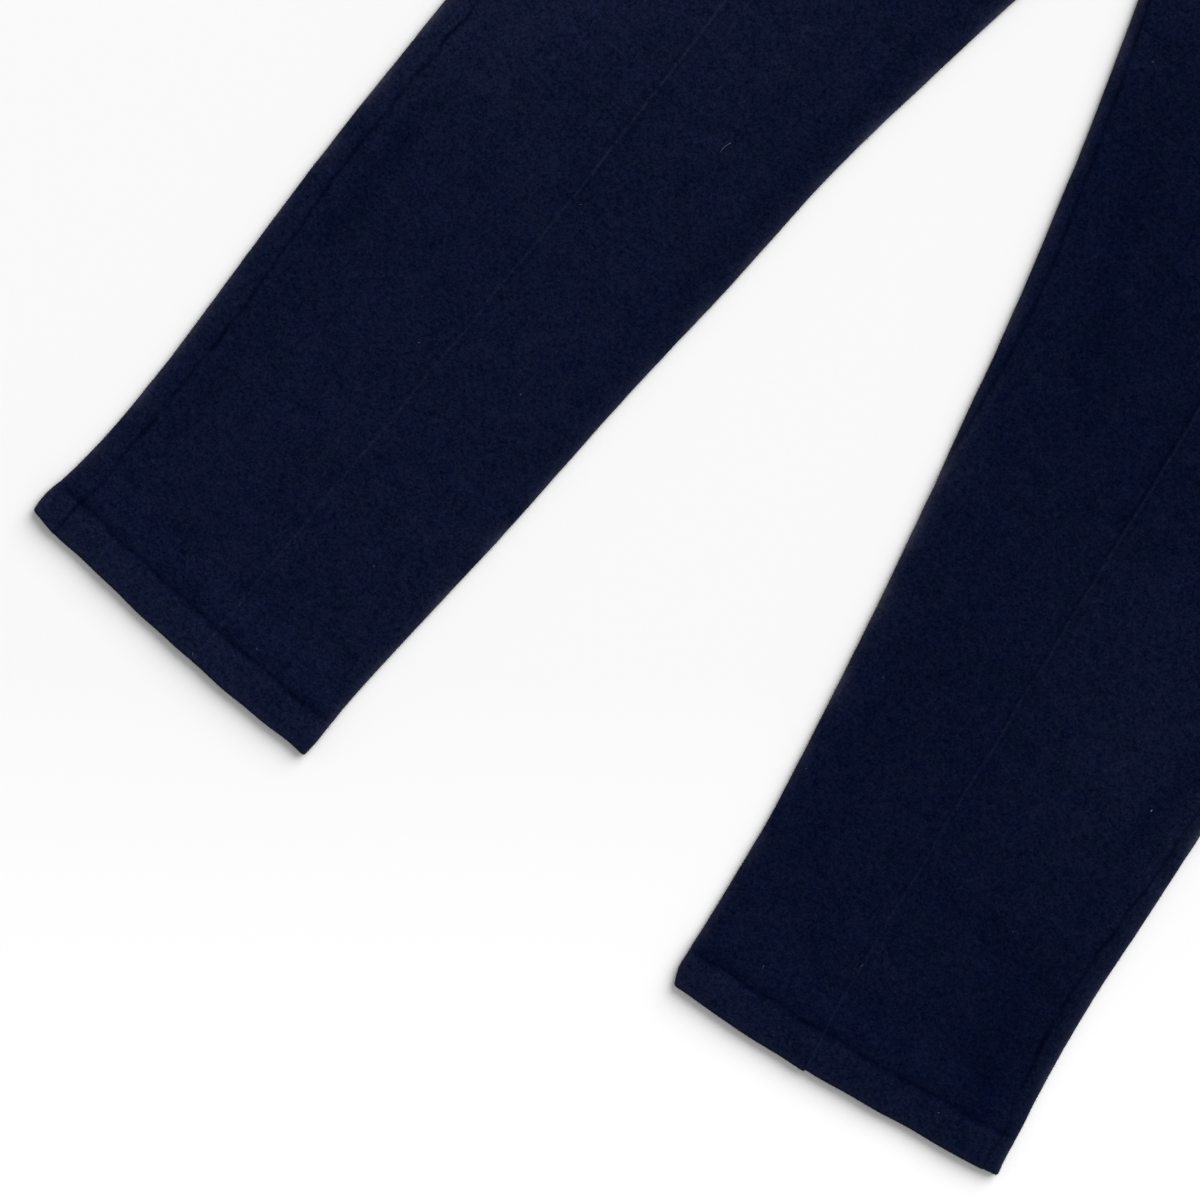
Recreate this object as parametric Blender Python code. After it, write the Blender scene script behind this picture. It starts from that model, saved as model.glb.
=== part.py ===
"""Cashmere joggers with straight hems, laid flat with the front up.

Frame: metres, +Z up off the surface that they lie on, +Y towards the waist, +X towards the wearer's
left. The origin is on that surface, under the middle of the garment's outline.

Each side of the garment is a tube of cloth pressed flat. A front and a back panel go round it. The back
panel wraps the outer folded edge, so the outseam lies on the front. Each hem is the end of its panels,
turned up inside. The waistband is one strip, folded at its top edge.
"""

import math

import bmesh
import bpy
import numpy as np

MM = 0.001

# Cloth, in millimetres, as every size below is until a point is placed.
CLOTH = 1.6  # one layer of milled cashmere
GAP = 0.3  # between two layers, and between two pieces at a seam
TWO_LAYERS = 2 * CLOTH + GAP
FOUR_LAYERS = 4 * CLOTH + 3 * GAP

# Heights above the middle of the hem.
HEM_DEPTH = 22.7
CROTCH = 706.7
WAIST_SEAM = 936.7
WAISTBAND_DEPTH = 45.0

# The folded side edges stand a little prouder than the middle, where the front lies on the back.
EDGE_HEIGHT = 5.2
EDGE_REACH = 22.0

# The stack of the hem, and the gathers under the waistband, ease into the thinner leg.
HEM_EASE = 46.0
WAIST_EASE = 70.0
GATHER_RISE = 1.6

# The inner fold opens into the rise seam over this length below the crotch.
CROTCH_OPENING = 14.0

# A pin tuck runs down each front, and a row of stitches draws the hem in.
TUCK_HEIGHT = 0.7
TUCK_HALF_WIDTH = 1.3
STITCH_DIP = 0.6
STITCH_HALF_WIDTH = 1.5

# The hem is not square to the garment's middle line: its outer corner is this much higher than its inner
# one, and as laid it lies a little lower. Both fade out between two heights, and the hem bows down in its
# middle.
SLANT = {"right": 28.6, "left": 13.5}
DROP = {"right": 2.4, "left": 0.4}
SLANT_FADE = (150.0, 600.0)
HEM_BOW = 3.0
BOW_FADE = 120.0

# Each row is a height. Inner, outer and tuck are distances from the garment's middle line. Outseam is how
# far in from the outer fold that seam lies, along the cloth. Inseam is measured so from the inner fold,
# and is less than 0 where the seam is rolled under.
COLUMNS = ("up", "inner", "outer", "tuck", "outseam", "inseam")
LEG_ROWS = {
    "right": (
        (0.0, 127.8, 334.0, 211.0, 20.3, -7.0),
        (12.5, 126.2, 333.4, 209.6, 19.9, -7.0),
        (25.5, 125.2, 329.8, 208.2, 19.2, -7.0),
        (52.5, 122.3, 324.6, 205.9, 17.0, -7.0),
        (102.0, 114.6, 319.1, 201.5, 16.1, -7.0),
        (182.0, 102.4, 315.3, 193.6, 17.7, -7.0),
        (271.5, 90.1, 310.9, 185.1, 15.0, -7.0),
        (350.0, 76.9, 304.6, 178.3, 15.5, -7.0),
        (430.0, 65.0, 297.6, 172.9, 15.0, -7.0),
        (520.0, 45.0, 289.0, 167.4, 14.5, -7.0),
        (610.0, 23.0, 281.2, 162.1, 14.0, -5.5),
        (706.7, 0.0, 274.5, 156.5, 13.5, 0.0),
    ),
    "left": (
        (0.0, 119.7, 333.0, 208.1, 12.0, -7.0),
        (10.0, 116.4, 331.4, 206.8, 11.6, -7.0),
        (23.0, 115.7, 330.3, 205.1, 10.8, -7.0),
        (50.0, 114.5, 327.0, 202.8, 12.9, -7.0),
        (100.0, 111.9, 322.7, 199.9, 14.3, -7.0),
        (180.0, 102.9, 321.0, 195.8, 11.4, -7.0),
        (270.0, 90.4, 318.7, 191.2, 10.5, -6.0),
        (320.0, 82.2, 315.3, 188.9, 11.8, 0.0),
        (360.0, 75.5, 311.6, 187.2, 13.0, 5.5),
        (400.0, 68.8, 307.4, 185.2, 13.0, 9.5),
        (520.0, 44.7, 294.2, 178.0, 13.5, 9.5),
        (610.0, 23.4, 284.8, 171.4, 13.5, 7.0),
        (706.7, 0.0, 275.5, 163.5, 13.5, 0.0),
    ),
}
HIP_ROWS = (
    (760.0, 0.0, 270.0, 154.0, 13.0, 0.0),
    (820.0, 0.0, 258.5, 145.0, 12.0, 0.0),
    (850.0, 0.0, 249.5, 138.0, 11.0, 0.0),
    (880.0, 0.0, 237.5, 129.5, 10.0, 0.0),
    (910.0, 0.0, 220.5, 119.5, 8.5, 0.0),
    (936.7, 0.0, 198.0, 109.0, 7.0, 0.0),
)
WAISTBAND_HALF_WIDTH = {"seam": 196.5, "top": 193.5}

# Where the mesh has cross-sections above the hem, and its steps across the cloth.
STATIONS = (
    (32, 46, 66, 100, 150, 200, 250, 300, 345, 405, 460, 520, 580, 620, 655, 680, 696)
    + (CROTCH, 714, 745, 800, 850, 885, 910, 928, WAIST_SEAM - GAP / 2)
)
STATIONS_WHERE_INSEAM_ROLLS = {"right": (), "left": (282, 315, 330, 358, 376)}
STEPS_INSEAM_TO_TUCK = 6
STEPS_TUCK_TO_OUTSEAM = 4
STEPS_BACK = 14
STEPS_WAISTBAND = 22
TIP_STEPS = 4

NAVY = (0.0036, 0.0059, 0.0212, 1.0)
ROUGHNESS = 0.95

SIDES = {"right": -1, "left": 1}


def ease(low, high, value):
    """0 below low and 1 above high, with a smooth step between."""
    share = min(max((value - low) / (high - low), 0.0), 1.0)
    return share * share * (3 - 2 * share)


def read_column(rows, name, up):
    """The named column at a height, on a smooth curve through the rows."""
    heights = [row[0] for row in rows]
    values = [row[COLUMNS.index(name)] for row in rows]
    slopes = np.gradient(values, heights)
    k = min(max(int(np.searchsorted(heights, up)) - 1, 0), len(rows) - 2)
    span = heights[k + 1] - heights[k]
    t = min(max((up - heights[k]) / span, 0.0), 1.0)
    start = (2 * t**3 - 3 * t**2 + 1) * values[k] + (t**3 - 2 * t**2 + t) * span * slopes[k]
    end = (3 * t**2 - 2 * t**3) * values[k + 1] + (t**3 - t**2) * span * slopes[k + 1]
    return start + end


class Section:
    """One cross-section of a flattened tube of cloth, in its own plane.

    A place on it is the distance along the cloth from the tip of the inner fold: over the front to the
    tip of the outer fold at `length`, and back underneath to 2 * length, which is the inner tip again.
    Below 0 it is underneath, and past 2 * length it is on the front.
    """

    def __init__(self, inner, outer, middle_height, inner_height, outer_height, closed=1.0):
        self.inner = np.array(inner)
        self.width = float(np.linalg.norm(np.subtract(outer, inner)))
        self.across = np.subtract(outer, inner) / self.width
        self.middle_height = middle_height
        self.radius = (inner_height / 2, outer_height / 2)
        self.turn = (math.pi * self.radius[0] / 2, math.pi * self.radius[1] / 2)
        self.closed = closed
        folds = closed * (self.turn[0] - self.radius[0]) + self.turn[1] - self.radius[1]
        self.length = self.width + folds
        self.bow = 0.0

    def height(self, across):
        """How high the top of the front is, this far across from the inner edge."""
        from_inner = 1 - ease(self.radius[0], EDGE_REACH, across)
        from_outer = 1 - ease(self.radius[1], EDGE_REACH, self.width - across)
        inner_rise = (2 * self.radius[0] - self.middle_height) * from_inner
        outer_rise = (2 * self.radius[1] - self.middle_height) * from_outer
        return self.middle_height + inner_rise + outer_rise

    def contour(self, place):
        """The outer surface at a place: its distance across, its height and its outward normal."""
        if place > 2 * self.length and self.closed > 0:
            place -= 2 * self.length
        side = 1 if 0 <= place <= self.length else -1
        over = place if side > 0 else (-place if place < 0 else 2 * self.length - place)
        end = 1 if over > self.length / 2 else 0
        from_tip = self.length - over if end else over
        radius = self.radius[end]
        if from_tip < self.turn[end]:
            angle = from_tip / radius
            across = radius * (1 - math.cos(angle))
            high = radius * (1 + side * math.sin(angle))
            normal = np.array((-math.cos(angle), side * math.sin(angle)))
        else:
            across = radius + from_tip - self.turn[end]
            here = self.width - across if end else across
            slope = (self.height(here + 0.5) - self.height(here - 0.5)) * (-1 if end else 1)
            high = self.height(here) if side > 0 else 0.0
            normal = np.array((-slope, 1.0)) if side > 0 else np.array((0.0, -1.0))
            normal /= np.linalg.norm(normal)
        if end:
            return self.width - across, high, np.array((-normal[0], normal[1]))
        if self.closed < 1:
            flat_high = self.height(from_tip) if side > 0 else 0.0
            across = self.closed * across + (1 - self.closed) * from_tip
            high = self.closed * high + (1 - self.closed) * flat_high
            normal = self.closed * normal + (1 - self.closed) * np.array((0.0, side))
            normal /= np.linalg.norm(normal)
        return across, high, normal

    def point(self, place, depth, back_off=0.0):
        """A point in the garment's frame, this deep under the outer surface at a place.

        It is moved back_off further along the cloth, square to the seam at that place.
        """
        across, high, normal = self.contour(place)
        across += back_off * normal[1] - depth * normal[0]
        high -= back_off * normal[0] + depth * normal[1]
        share = across / self.width
        x, y = self.inner + self.across * across
        return x, y - self.bow * 4 * share * (1 - share), high

    def front_place(self, across):
        """The place on the front that is this far across from the inner edge."""
        return across + self.closed * (self.turn[0] - self.radius[0])

    def top_share(self, place):
        """1 on the front, 0 underneath, and between the two round the folds."""
        return 0.5 + 0.5 * self.contour(place)[2][1]

    def spread(self, start, end, steps):
        """Places from start to end, close together round the folds and far apart on the flat."""
        length, (inner, outer) = self.length, self.turn
        near = EDGE_REACH - 2
        marks = (
            (-inner - near, 0.0),
            (-inner, 1.0),
            (inner, 4.0),
            (inner + near, 2.6),
            (length - outer - near, 2.0),
            (length - outer, 2.6),
            (length + outer, 4.0),
            (length + outer + near, 1.0),
            (2 * length - inner - near, 2.0),
            (2 * length - inner, 1.0),
            (2 * length + inner, 4.0),
            (2 * length + inner + near, 2.6),
        )
        places = [mark[0] for mark in marks]
        counts = np.cumsum([mark[1] for mark in marks])
        wanted = np.linspace(*np.interp((start, end), places, counts), steps + 1)
        return np.interp(wanted, counts, places)


def leg_height(up):
    """How high the middle of the front is: four layers in the hem, two above, gathers at the waist."""
    hem = 1 - ease(HEM_DEPTH, HEM_DEPTH + HEM_EASE, up)
    waist = ease(WAIST_SEAM - WAIST_EASE, WAIST_SEAM, up)
    gathers = GATHER_RISE * math.sin(math.pi * waist)
    return TWO_LAYERS + (FOUR_LAYERS - TWO_LAYERS) * (hem + waist) + gathers


def leg_section(side, up):
    """The cross-section of one side of the garment at a height."""
    rows = LEG_ROWS[side] + HIP_ROWS
    fade = 1 - ease(*SLANT_FADE, up)
    slant = SLANT[side] * fade
    level = up - CROTCH - DROP[side] * fade
    inner = max(read_column(rows, "inner", up), 0.0)
    outer = read_column(rows, "outer", up)
    middle = leg_height(up)
    closed = 1 - ease(CROTCH - CROTCH_OPENING, CROTCH, up)
    edge = max(EDGE_HEIGHT, middle)
    section = Section(
        (SIDES[side] * inner, level - slant / 2),
        (SIDES[side] * outer, level + slant / 2),
        middle,
        closed * edge + (1 - closed) * middle,
        edge,
        closed,
    )
    section.bow = HEM_BOW * (1 - ease(0, BOW_FADE, up))
    return section


def seams(side, up, section):
    """Where the inseam, the tuck and the outseam cross a section."""
    rows = LEG_ROWS[side] + HIP_ROWS
    inner, outer, tuck = (read_column(rows, name, up) for name in ("inner", "outer", "tuck"))
    inseam = read_column(rows, "inseam", up) * section.closed
    outseam = section.length - read_column(rows, "outseam", up)
    tuck_share = (tuck - inner) / (outer - inner)
    return inseam, section.front_place(tuck_share * section.width), outseam


def front_places(side, up, section):
    """The front panel's places at a height, with three for its tuck."""
    inseam, tuck, outseam = seams(side, up, section)
    first = section.spread(inseam, tuck - TUCK_HALF_WIDTH, STEPS_INSEAM_TO_TUCK)
    last = section.spread(tuck + TUCK_HALF_WIDTH, outseam, STEPS_TUCK_TO_OUTSEAM)
    return [*first, tuck, *last]


def back_places(side, up, section):
    """The back panel's places at a height: round the outer fold, underneath, to the inseam."""
    inseam, _, outseam = seams(side, up, section)
    return section.spread(outseam, 2 * section.length + inseam, STEPS_BACK)


def waistband_section(up):
    """The cross-section of the waistband at a height above the waist seam."""
    widths = WAISTBAND_HALF_WIDTH
    half = widths["seam"] + (widths["top"] - widths["seam"]) * up / WAISTBAND_DEPTH
    level = WAIST_SEAM - CROTCH + up
    return Section((-half, level), (half, level), FOUR_LAYERS, FOUR_LAYERS, FOUR_LAYERS)


def turned_edge(length):
    """A wall's two sides where its end is turned in, from the raw end to the fold and out again.

    Each item is the distance above the fold and the depth below the outer surface, for the side that
    starts on the face of the garment and for the side that starts inside it.
    """
    radii = (CLOTH + GAP / 2, GAP / 2)
    turned = [((up, TWO_LAYERS), (up, CLOTH + GAP)) for up in (length, length / 2)]
    tip = []
    for step in range(TIP_STEPS + 1):
        angle = math.pi * (1 - step / TIP_STEPS)
        around = [(radii[0] - r * math.sin(angle), radii[0] - r * math.cos(angle)) for r in radii]
        tip.append(tuple(around))
    return turned + tip


def leg_profile(side):
    """The two sides of a leg panel's wall, from the raw end of its hem up to the waist seam."""
    band = (HEM_DEPTH / 2, HEM_DEPTH - STITCH_HALF_WIDTH, HEM_DEPTH, HEM_DEPTH + STITCH_HALF_WIDTH)
    stations = sorted(STATIONS + STATIONS_WHERE_INSEAM_ROLLS[side])
    plain = [((up, 0.0), (up, CLOTH)) for up in (*band, *stations)]
    return turned_edge(HEM_DEPTH) + plain


def waistband_profile():
    """The two sides of the waistband's wall, from its inner raw end over the top and down the face."""
    def flip(side):
        return WAISTBAND_DEPTH - side[0], side[1]

    length = WAISTBAND_DEPTH - GAP / 2
    turned = [(flip(face), flip(inside)) for face, inside in turned_edge(length)]
    plain = [((up, 0.0), (up, CLOTH)) for up in (WAISTBAND_DEPTH / 2, GAP / 2)]
    return turned + plain


def wall(name, grids, closed_round):
    """A closed solid between two grids of points: the face of the cloth and its inside."""
    mesh = bmesh.new()
    face, inside = [[[mesh.verts.new([c * MM for c in p]) for p in row] for row in grid] for grid in grids]
    rows, places = len(face), len(face[0])
    around = places if closed_round else places - 1
    for i in range(rows - 1):
        for j in range(around):
            k = (j + 1) % places
            mesh.faces.new((face[i][j], face[i][k], face[i + 1][k], face[i + 1][j]))
            mesh.faces.new((inside[i][j], inside[i + 1][j], inside[i + 1][k], inside[i][k]))
    for i, turn in ((0, 1), (rows - 1, -1)):
        for j in range(around):
            k = (j + 1) % places
            mesh.faces.new((inside[i][j], inside[i][k], face[i][k], face[i][j])[::turn])
    if not closed_round:
        # Both sides of a seam twist alike, so their faces are cut along the same diagonal.
        for j, turn in ((0, 1), (places - 1, -1)):
            for i in range(rows - 1):
                mesh.faces.new((face[i][j], face[i + 1][j], inside[i + 1][j])[::turn])
                mesh.faces.new((face[i][j], inside[i + 1][j], inside[i][j])[::turn])
    bmesh.ops.recalc_face_normals(mesh, faces=mesh.faces[:])
    data = bpy.data.meshes.new(name)
    mesh.to_mesh(data)
    mesh.free()
    data.shade_smooth()
    return data


def leg_panel(name, side, places_at, tucked):
    """A front or back panel, from its turned-up hem to the waist seam."""
    tuck_column = STEPS_INSEAM_TO_TUCK + 1 if tucked else None
    grids = ([], [])
    for sides in leg_profile(side):
        for grid, (up, depth) in zip(grids, sides):
            section = leg_section(side, up)
            dip = STITCH_DIP if up == HEM_DEPTH and depth == 0 else 0.0
            places = places_at(side, up, section)
            back_off = [0.0] * len(places)
            back_off[0], back_off[-1] = GAP / 2, -GAP / 2
            row = []
            for j, place in enumerate(places):
                tuck = TUCK_HEIGHT * (1 - min(depth / CLOTH, 1.0)) if j == tuck_column else 0.0
                sunk = depth + dip * section.top_share(place) - tuck
                row.append(section.point(place, sunk, back_off[j]))
            grid.append(row)
    return wall(name, grids, closed_round=False)


def waistband(name):
    """The waistband, a folded strip that goes all the way round."""
    grids = ([], [])
    for sides in waistband_profile():
        for grid, (up, depth) in zip(grids, sides):
            section = waistband_section(up)
            places = section.spread(0, 2 * section.length, STEPS_WAISTBAND)[:-1]
            grid.append([section.point(place, depth) for place in places])
    return wall(name, grids, closed_round=True)


def cloth_material(name):
    """A plain matt navy for one piece."""
    material = bpy.data.materials.new(name)
    material.use_nodes = True
    shader = material.node_tree.nodes["Principled BSDF"]
    shader.inputs["Base Color"].default_value = NAVY
    shader.inputs["Roughness"].default_value = ROUGHNESS
    shader.inputs["Metallic"].default_value = 0.0
    return material


def add_piece(name, mesh, garment):
    """Puts one piece's mesh in the scene, in its own cloth, on the garment's frame."""
    piece = bpy.data.objects.new(name, mesh)
    piece.data.materials.append(cloth_material(name + "_cloth"))
    piece.parent = garment
    bpy.context.scene.collection.objects.link(piece)


def garment_frame():
    """An empty at the crotch, placed so that the world's origin is under the outline's middle."""
    lowest = -CROTCH - DROP["right"] - SLANT["right"] / 2
    highest = WAIST_SEAM - CROTCH + WAISTBAND_DEPTH
    widest = [LEG_ROWS[side][0][COLUMNS.index("outer")] for side in ("right", "left")]
    frame = bpy.data.objects.new("garment", None)
    frame.location = ((widest[0] - widest[1]) / 2 * MM, -(lowest + highest) / 2 * MM, 0)
    bpy.context.scene.collection.objects.link(frame)
    return frame


def main():
    for thing in list(bpy.data.objects):
        bpy.data.objects.remove(thing)
    garment = garment_frame()
    for side in SIDES:
        add_piece(f"front_{side}", leg_panel(f"front_{side}", side, front_places, tucked=True), garment)
        add_piece(f"back_{side}", leg_panel(f"back_{side}", side, back_places, tucked=False), garment)
    add_piece("waistband", waistband("waistband"), garment)


main()
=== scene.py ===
"""The looks of a pair of cashmere joggers, laid flat with the front up.

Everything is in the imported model's frame: metres, +Z up off the surface that the garment lies on, +Y
towards the waist, +X towards the wearer's left. A size is in millimetres until a point is placed.

Each side of the garment is a tube of milled cashmere pressed flat. A front and a back panel go round it,
and meet at an outseam on the front and an inseam near the inner fold. The hems are the panels' own ends,
turned up inside and caught with small stitches. The waistband is one strip, folded at its top.
"""

from __future__ import annotations

import logging
import math
from dataclasses import dataclass, field
from enum import Enum
from typing import Sequence

import bmesh
import bpy
import numpy as np
from mathutils import Matrix, Vector


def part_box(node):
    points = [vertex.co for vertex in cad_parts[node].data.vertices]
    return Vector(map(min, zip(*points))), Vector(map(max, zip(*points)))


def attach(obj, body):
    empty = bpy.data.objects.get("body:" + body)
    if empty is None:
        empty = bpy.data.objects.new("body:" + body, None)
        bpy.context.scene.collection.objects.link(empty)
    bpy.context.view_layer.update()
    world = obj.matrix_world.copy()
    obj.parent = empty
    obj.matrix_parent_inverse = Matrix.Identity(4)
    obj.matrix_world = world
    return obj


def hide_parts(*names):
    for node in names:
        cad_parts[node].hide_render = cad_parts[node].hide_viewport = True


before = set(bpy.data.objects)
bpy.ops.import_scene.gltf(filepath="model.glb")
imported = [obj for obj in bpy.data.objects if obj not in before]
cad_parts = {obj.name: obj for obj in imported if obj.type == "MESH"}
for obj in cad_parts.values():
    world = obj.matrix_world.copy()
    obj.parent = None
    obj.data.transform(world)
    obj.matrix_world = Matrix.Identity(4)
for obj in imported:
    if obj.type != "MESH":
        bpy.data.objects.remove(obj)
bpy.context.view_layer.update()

log = logging.getLogger("joggers")

Array = np.ndarray
Pair = tuple[float, float]
Triple = tuple[float, float, float]
Socket = bpy.types.NodeSocket

MM = 0.001

# The cloth, and how it is folded and sewn.
CLOTH = 1.6
GAP = 0.3
TWO_LAYERS = 2 * CLOTH + GAP
FOUR_LAYERS = 4 * CLOTH + 3 * GAP

# Heights above the middle of the hem.
HEM_DEPTH = 22.7
CROTCH = 706.7
WAIST_SEAM = 936.7
WAISTBAND_DEPTH = 45.0

EDGE_HEIGHT = 5.2
EDGE_REACH = 22.0
HEM_EASE = 30.0
WAIST_EASE = 70.0
GATHER_RISE = 1.6
CROTCH_OPENING = 14.0
SLANT_FADE = (150.0, 600.0)
HEM_BOW = 3.0
BOW_FADE = 120.0
RIB_REACH = 34.0

TIP_RADIUS = CLOTH + GAP / 2
TIP_STEPS = 8
TURNED_ROWS = 5
GRADE_STEPS = 6000
NOWHERE = -1000.0

WAIST_GROOVE_DEPTH = 0.9
WAIST_GROOVE_REACH = 2.4

# Which way the cloth faces, from 1 straight up to -1 straight down: less than this where it has turned to
# the back, where it rests on what is under it and where it is bare of hairs, and less than this either
# way at a fold's edge.
BEHIND = -0.3
RESTING = -0.5
UNDERNEATH = -0.6
STEEP = 0.75

# The painted sheen along the folds: its strength's range, its lightening, and how far both reach.
FOLD_SHEEN_RANGE = (0.25, 1.9)
FOLD_LIGHT = 0.40
FOLD_LIGHT_REACH = 5.0
FOLD_HAZE_REACH = 1.8

# The map of the cut cloth: the room left round it, and above its longer half.
CHART_MARGIN = 0.006
CHART_SLACK = 1.02


class Side(Enum):
    """The wearer's side, with the sign of its X."""

    RIGHT = -1
    LEFT = 1


class Panel(Enum):
    """The two panels that go round each side of the garment."""

    FRONT = "front"
    BACK = "back"


@dataclass(frozen=True)
class Row:
    """The garment at one height.

    Inner, outer and tuck are distances from the middle line. Outseam is how far in from the outer fold
    that seam lies, along the cloth. Inseam is measured so from the inner fold, and is less than 0 where
    the seam is rolled under.
    """

    up: float
    inner: float
    outer: float
    tuck: float
    outseam: float
    inseam: float


HIP_ROWS = (
    Row(760.0, 0.0, 270.0, 154.0, 13.0, 0.0),
    Row(820.0, 0.0, 258.5, 145.0, 12.0, 0.0),
    Row(850.0, 0.0, 249.5, 138.0, 11.0, 0.0),
    Row(880.0, 0.0, 237.5, 129.5, 10.0, 0.0),
    Row(910.0, 0.0, 220.5, 119.5, 8.5, 0.0),
    Row(936.7, 0.0, 198.0, 109.0, 7.0, 0.0),
)
LEG_ROWS = {
    Side.RIGHT: (
        Row(0.0, 127.8, 334.0, 211.0, 20.3, -7.0),
        Row(12.5, 126.2, 333.4, 209.6, 19.9, -7.0),
        Row(25.5, 125.2, 329.8, 208.2, 19.2, -7.0),
        Row(52.5, 122.3, 324.6, 205.9, 17.0, -7.0),
        Row(102.0, 114.6, 319.1, 201.5, 16.1, -7.0),
        Row(182.0, 102.4, 315.3, 193.6, 17.7, -7.0),
        Row(271.5, 90.1, 310.9, 185.1, 15.0, -7.0),
        Row(350.0, 76.9, 304.6, 178.3, 15.5, -7.0),
        Row(430.0, 65.0, 297.6, 172.9, 15.0, -7.0),
        Row(520.0, 45.0, 289.0, 167.4, 14.5, -7.0),
        Row(610.0, 23.0, 281.2, 162.1, 14.0, -5.5),
        Row(706.7, 0.0, 274.5, 156.5, 13.5, 0.0),
    ),
    Side.LEFT: (
        Row(0.0, 119.7, 333.0, 208.1, 12.0, -7.0),
        Row(10.0, 116.4, 331.4, 206.8, 11.6, -7.0),
        Row(23.0, 115.7, 330.3, 205.1, 10.8, -7.0),
        Row(50.0, 114.5, 327.0, 202.8, 12.9, -7.0),
        Row(100.0, 111.9, 322.7, 199.9, 14.3, -7.0),
        Row(180.0, 102.9, 321.0, 195.8, 11.4, -7.0),
        Row(270.0, 90.4, 318.7, 191.2, 10.5, -6.0),
        Row(320.0, 82.2, 315.3, 188.9, 11.8, 0.0),
        Row(360.0, 75.5, 311.6, 187.2, 13.0, 5.5),
        Row(400.0, 68.8, 307.4, 185.2, 13.0, 9.5),
        Row(520.0, 44.7, 294.2, 178.0, 13.5, 9.5),
        Row(610.0, 23.4, 284.8, 171.4, 13.5, 7.0),
        Row(706.7, 0.0, 275.5, 163.5, 13.5, 0.0),
    ),
}


@dataclass(frozen=True)
class Lie:
    """How one side lies, and the painted light and shade on it.

    Slant is how much higher the hem's outer end is than its inner end, and drop how much lower the whole
    hem lies. The tone is painted light over the whole leg, about 1: the right leg is painted lighter and the
    left darker. The hem's light is how much painted sheen lightens its band at the inner fold and in the
    middle. The tuck has the painted highlight of its ridge, its lean inwards, which deepens the dip and its
    painted shade on that side, and the step in the hem under it. The outseam has the step in the hem, and
    how far the painted shade of its groove is still seen there.
    """

    slant: float
    drop: float
    tone: float
    hem_light: Pair
    tuck_light: float
    tuck_lean: float
    tuck_step: float
    outseam_step: float
    hem_outseam: float


# Each side's lie and its painted light and shade; HIP_TONE is the painted light both sides blend to at the
# hips.
LIES = {
    Side.RIGHT: Lie(28.6, 2.4, 1.05, (0.16, 0.24), 0.70, 0.30, 0.2, -0.9, 1.0),
    Side.LEFT: Lie(13.5, 0.4, 0.85, (0.38, 0.20), 0.61, 0.82, 1.4, 0.5, 0.3),
}
HIP_TONE = 0.96


@dataclass(frozen=True)
class Crease:
    """One soft trough or ridge in the lie of the cloth, from one end to the other.

    Heights are above the hem and shares run from 0 at the inner edge to 1 at the outer edge. Lift is how
    far the cloth rises, and tone how much lighter it is painted: painted light on a ridge, painted shade in
    a trough.
    """

    up: float
    share: float
    end_up: float
    end_share: float
    reach: float
    lift: float
    tone: float


# The front's creases: their lift, with painted light on the ridges and painted shade in the troughs.
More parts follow.
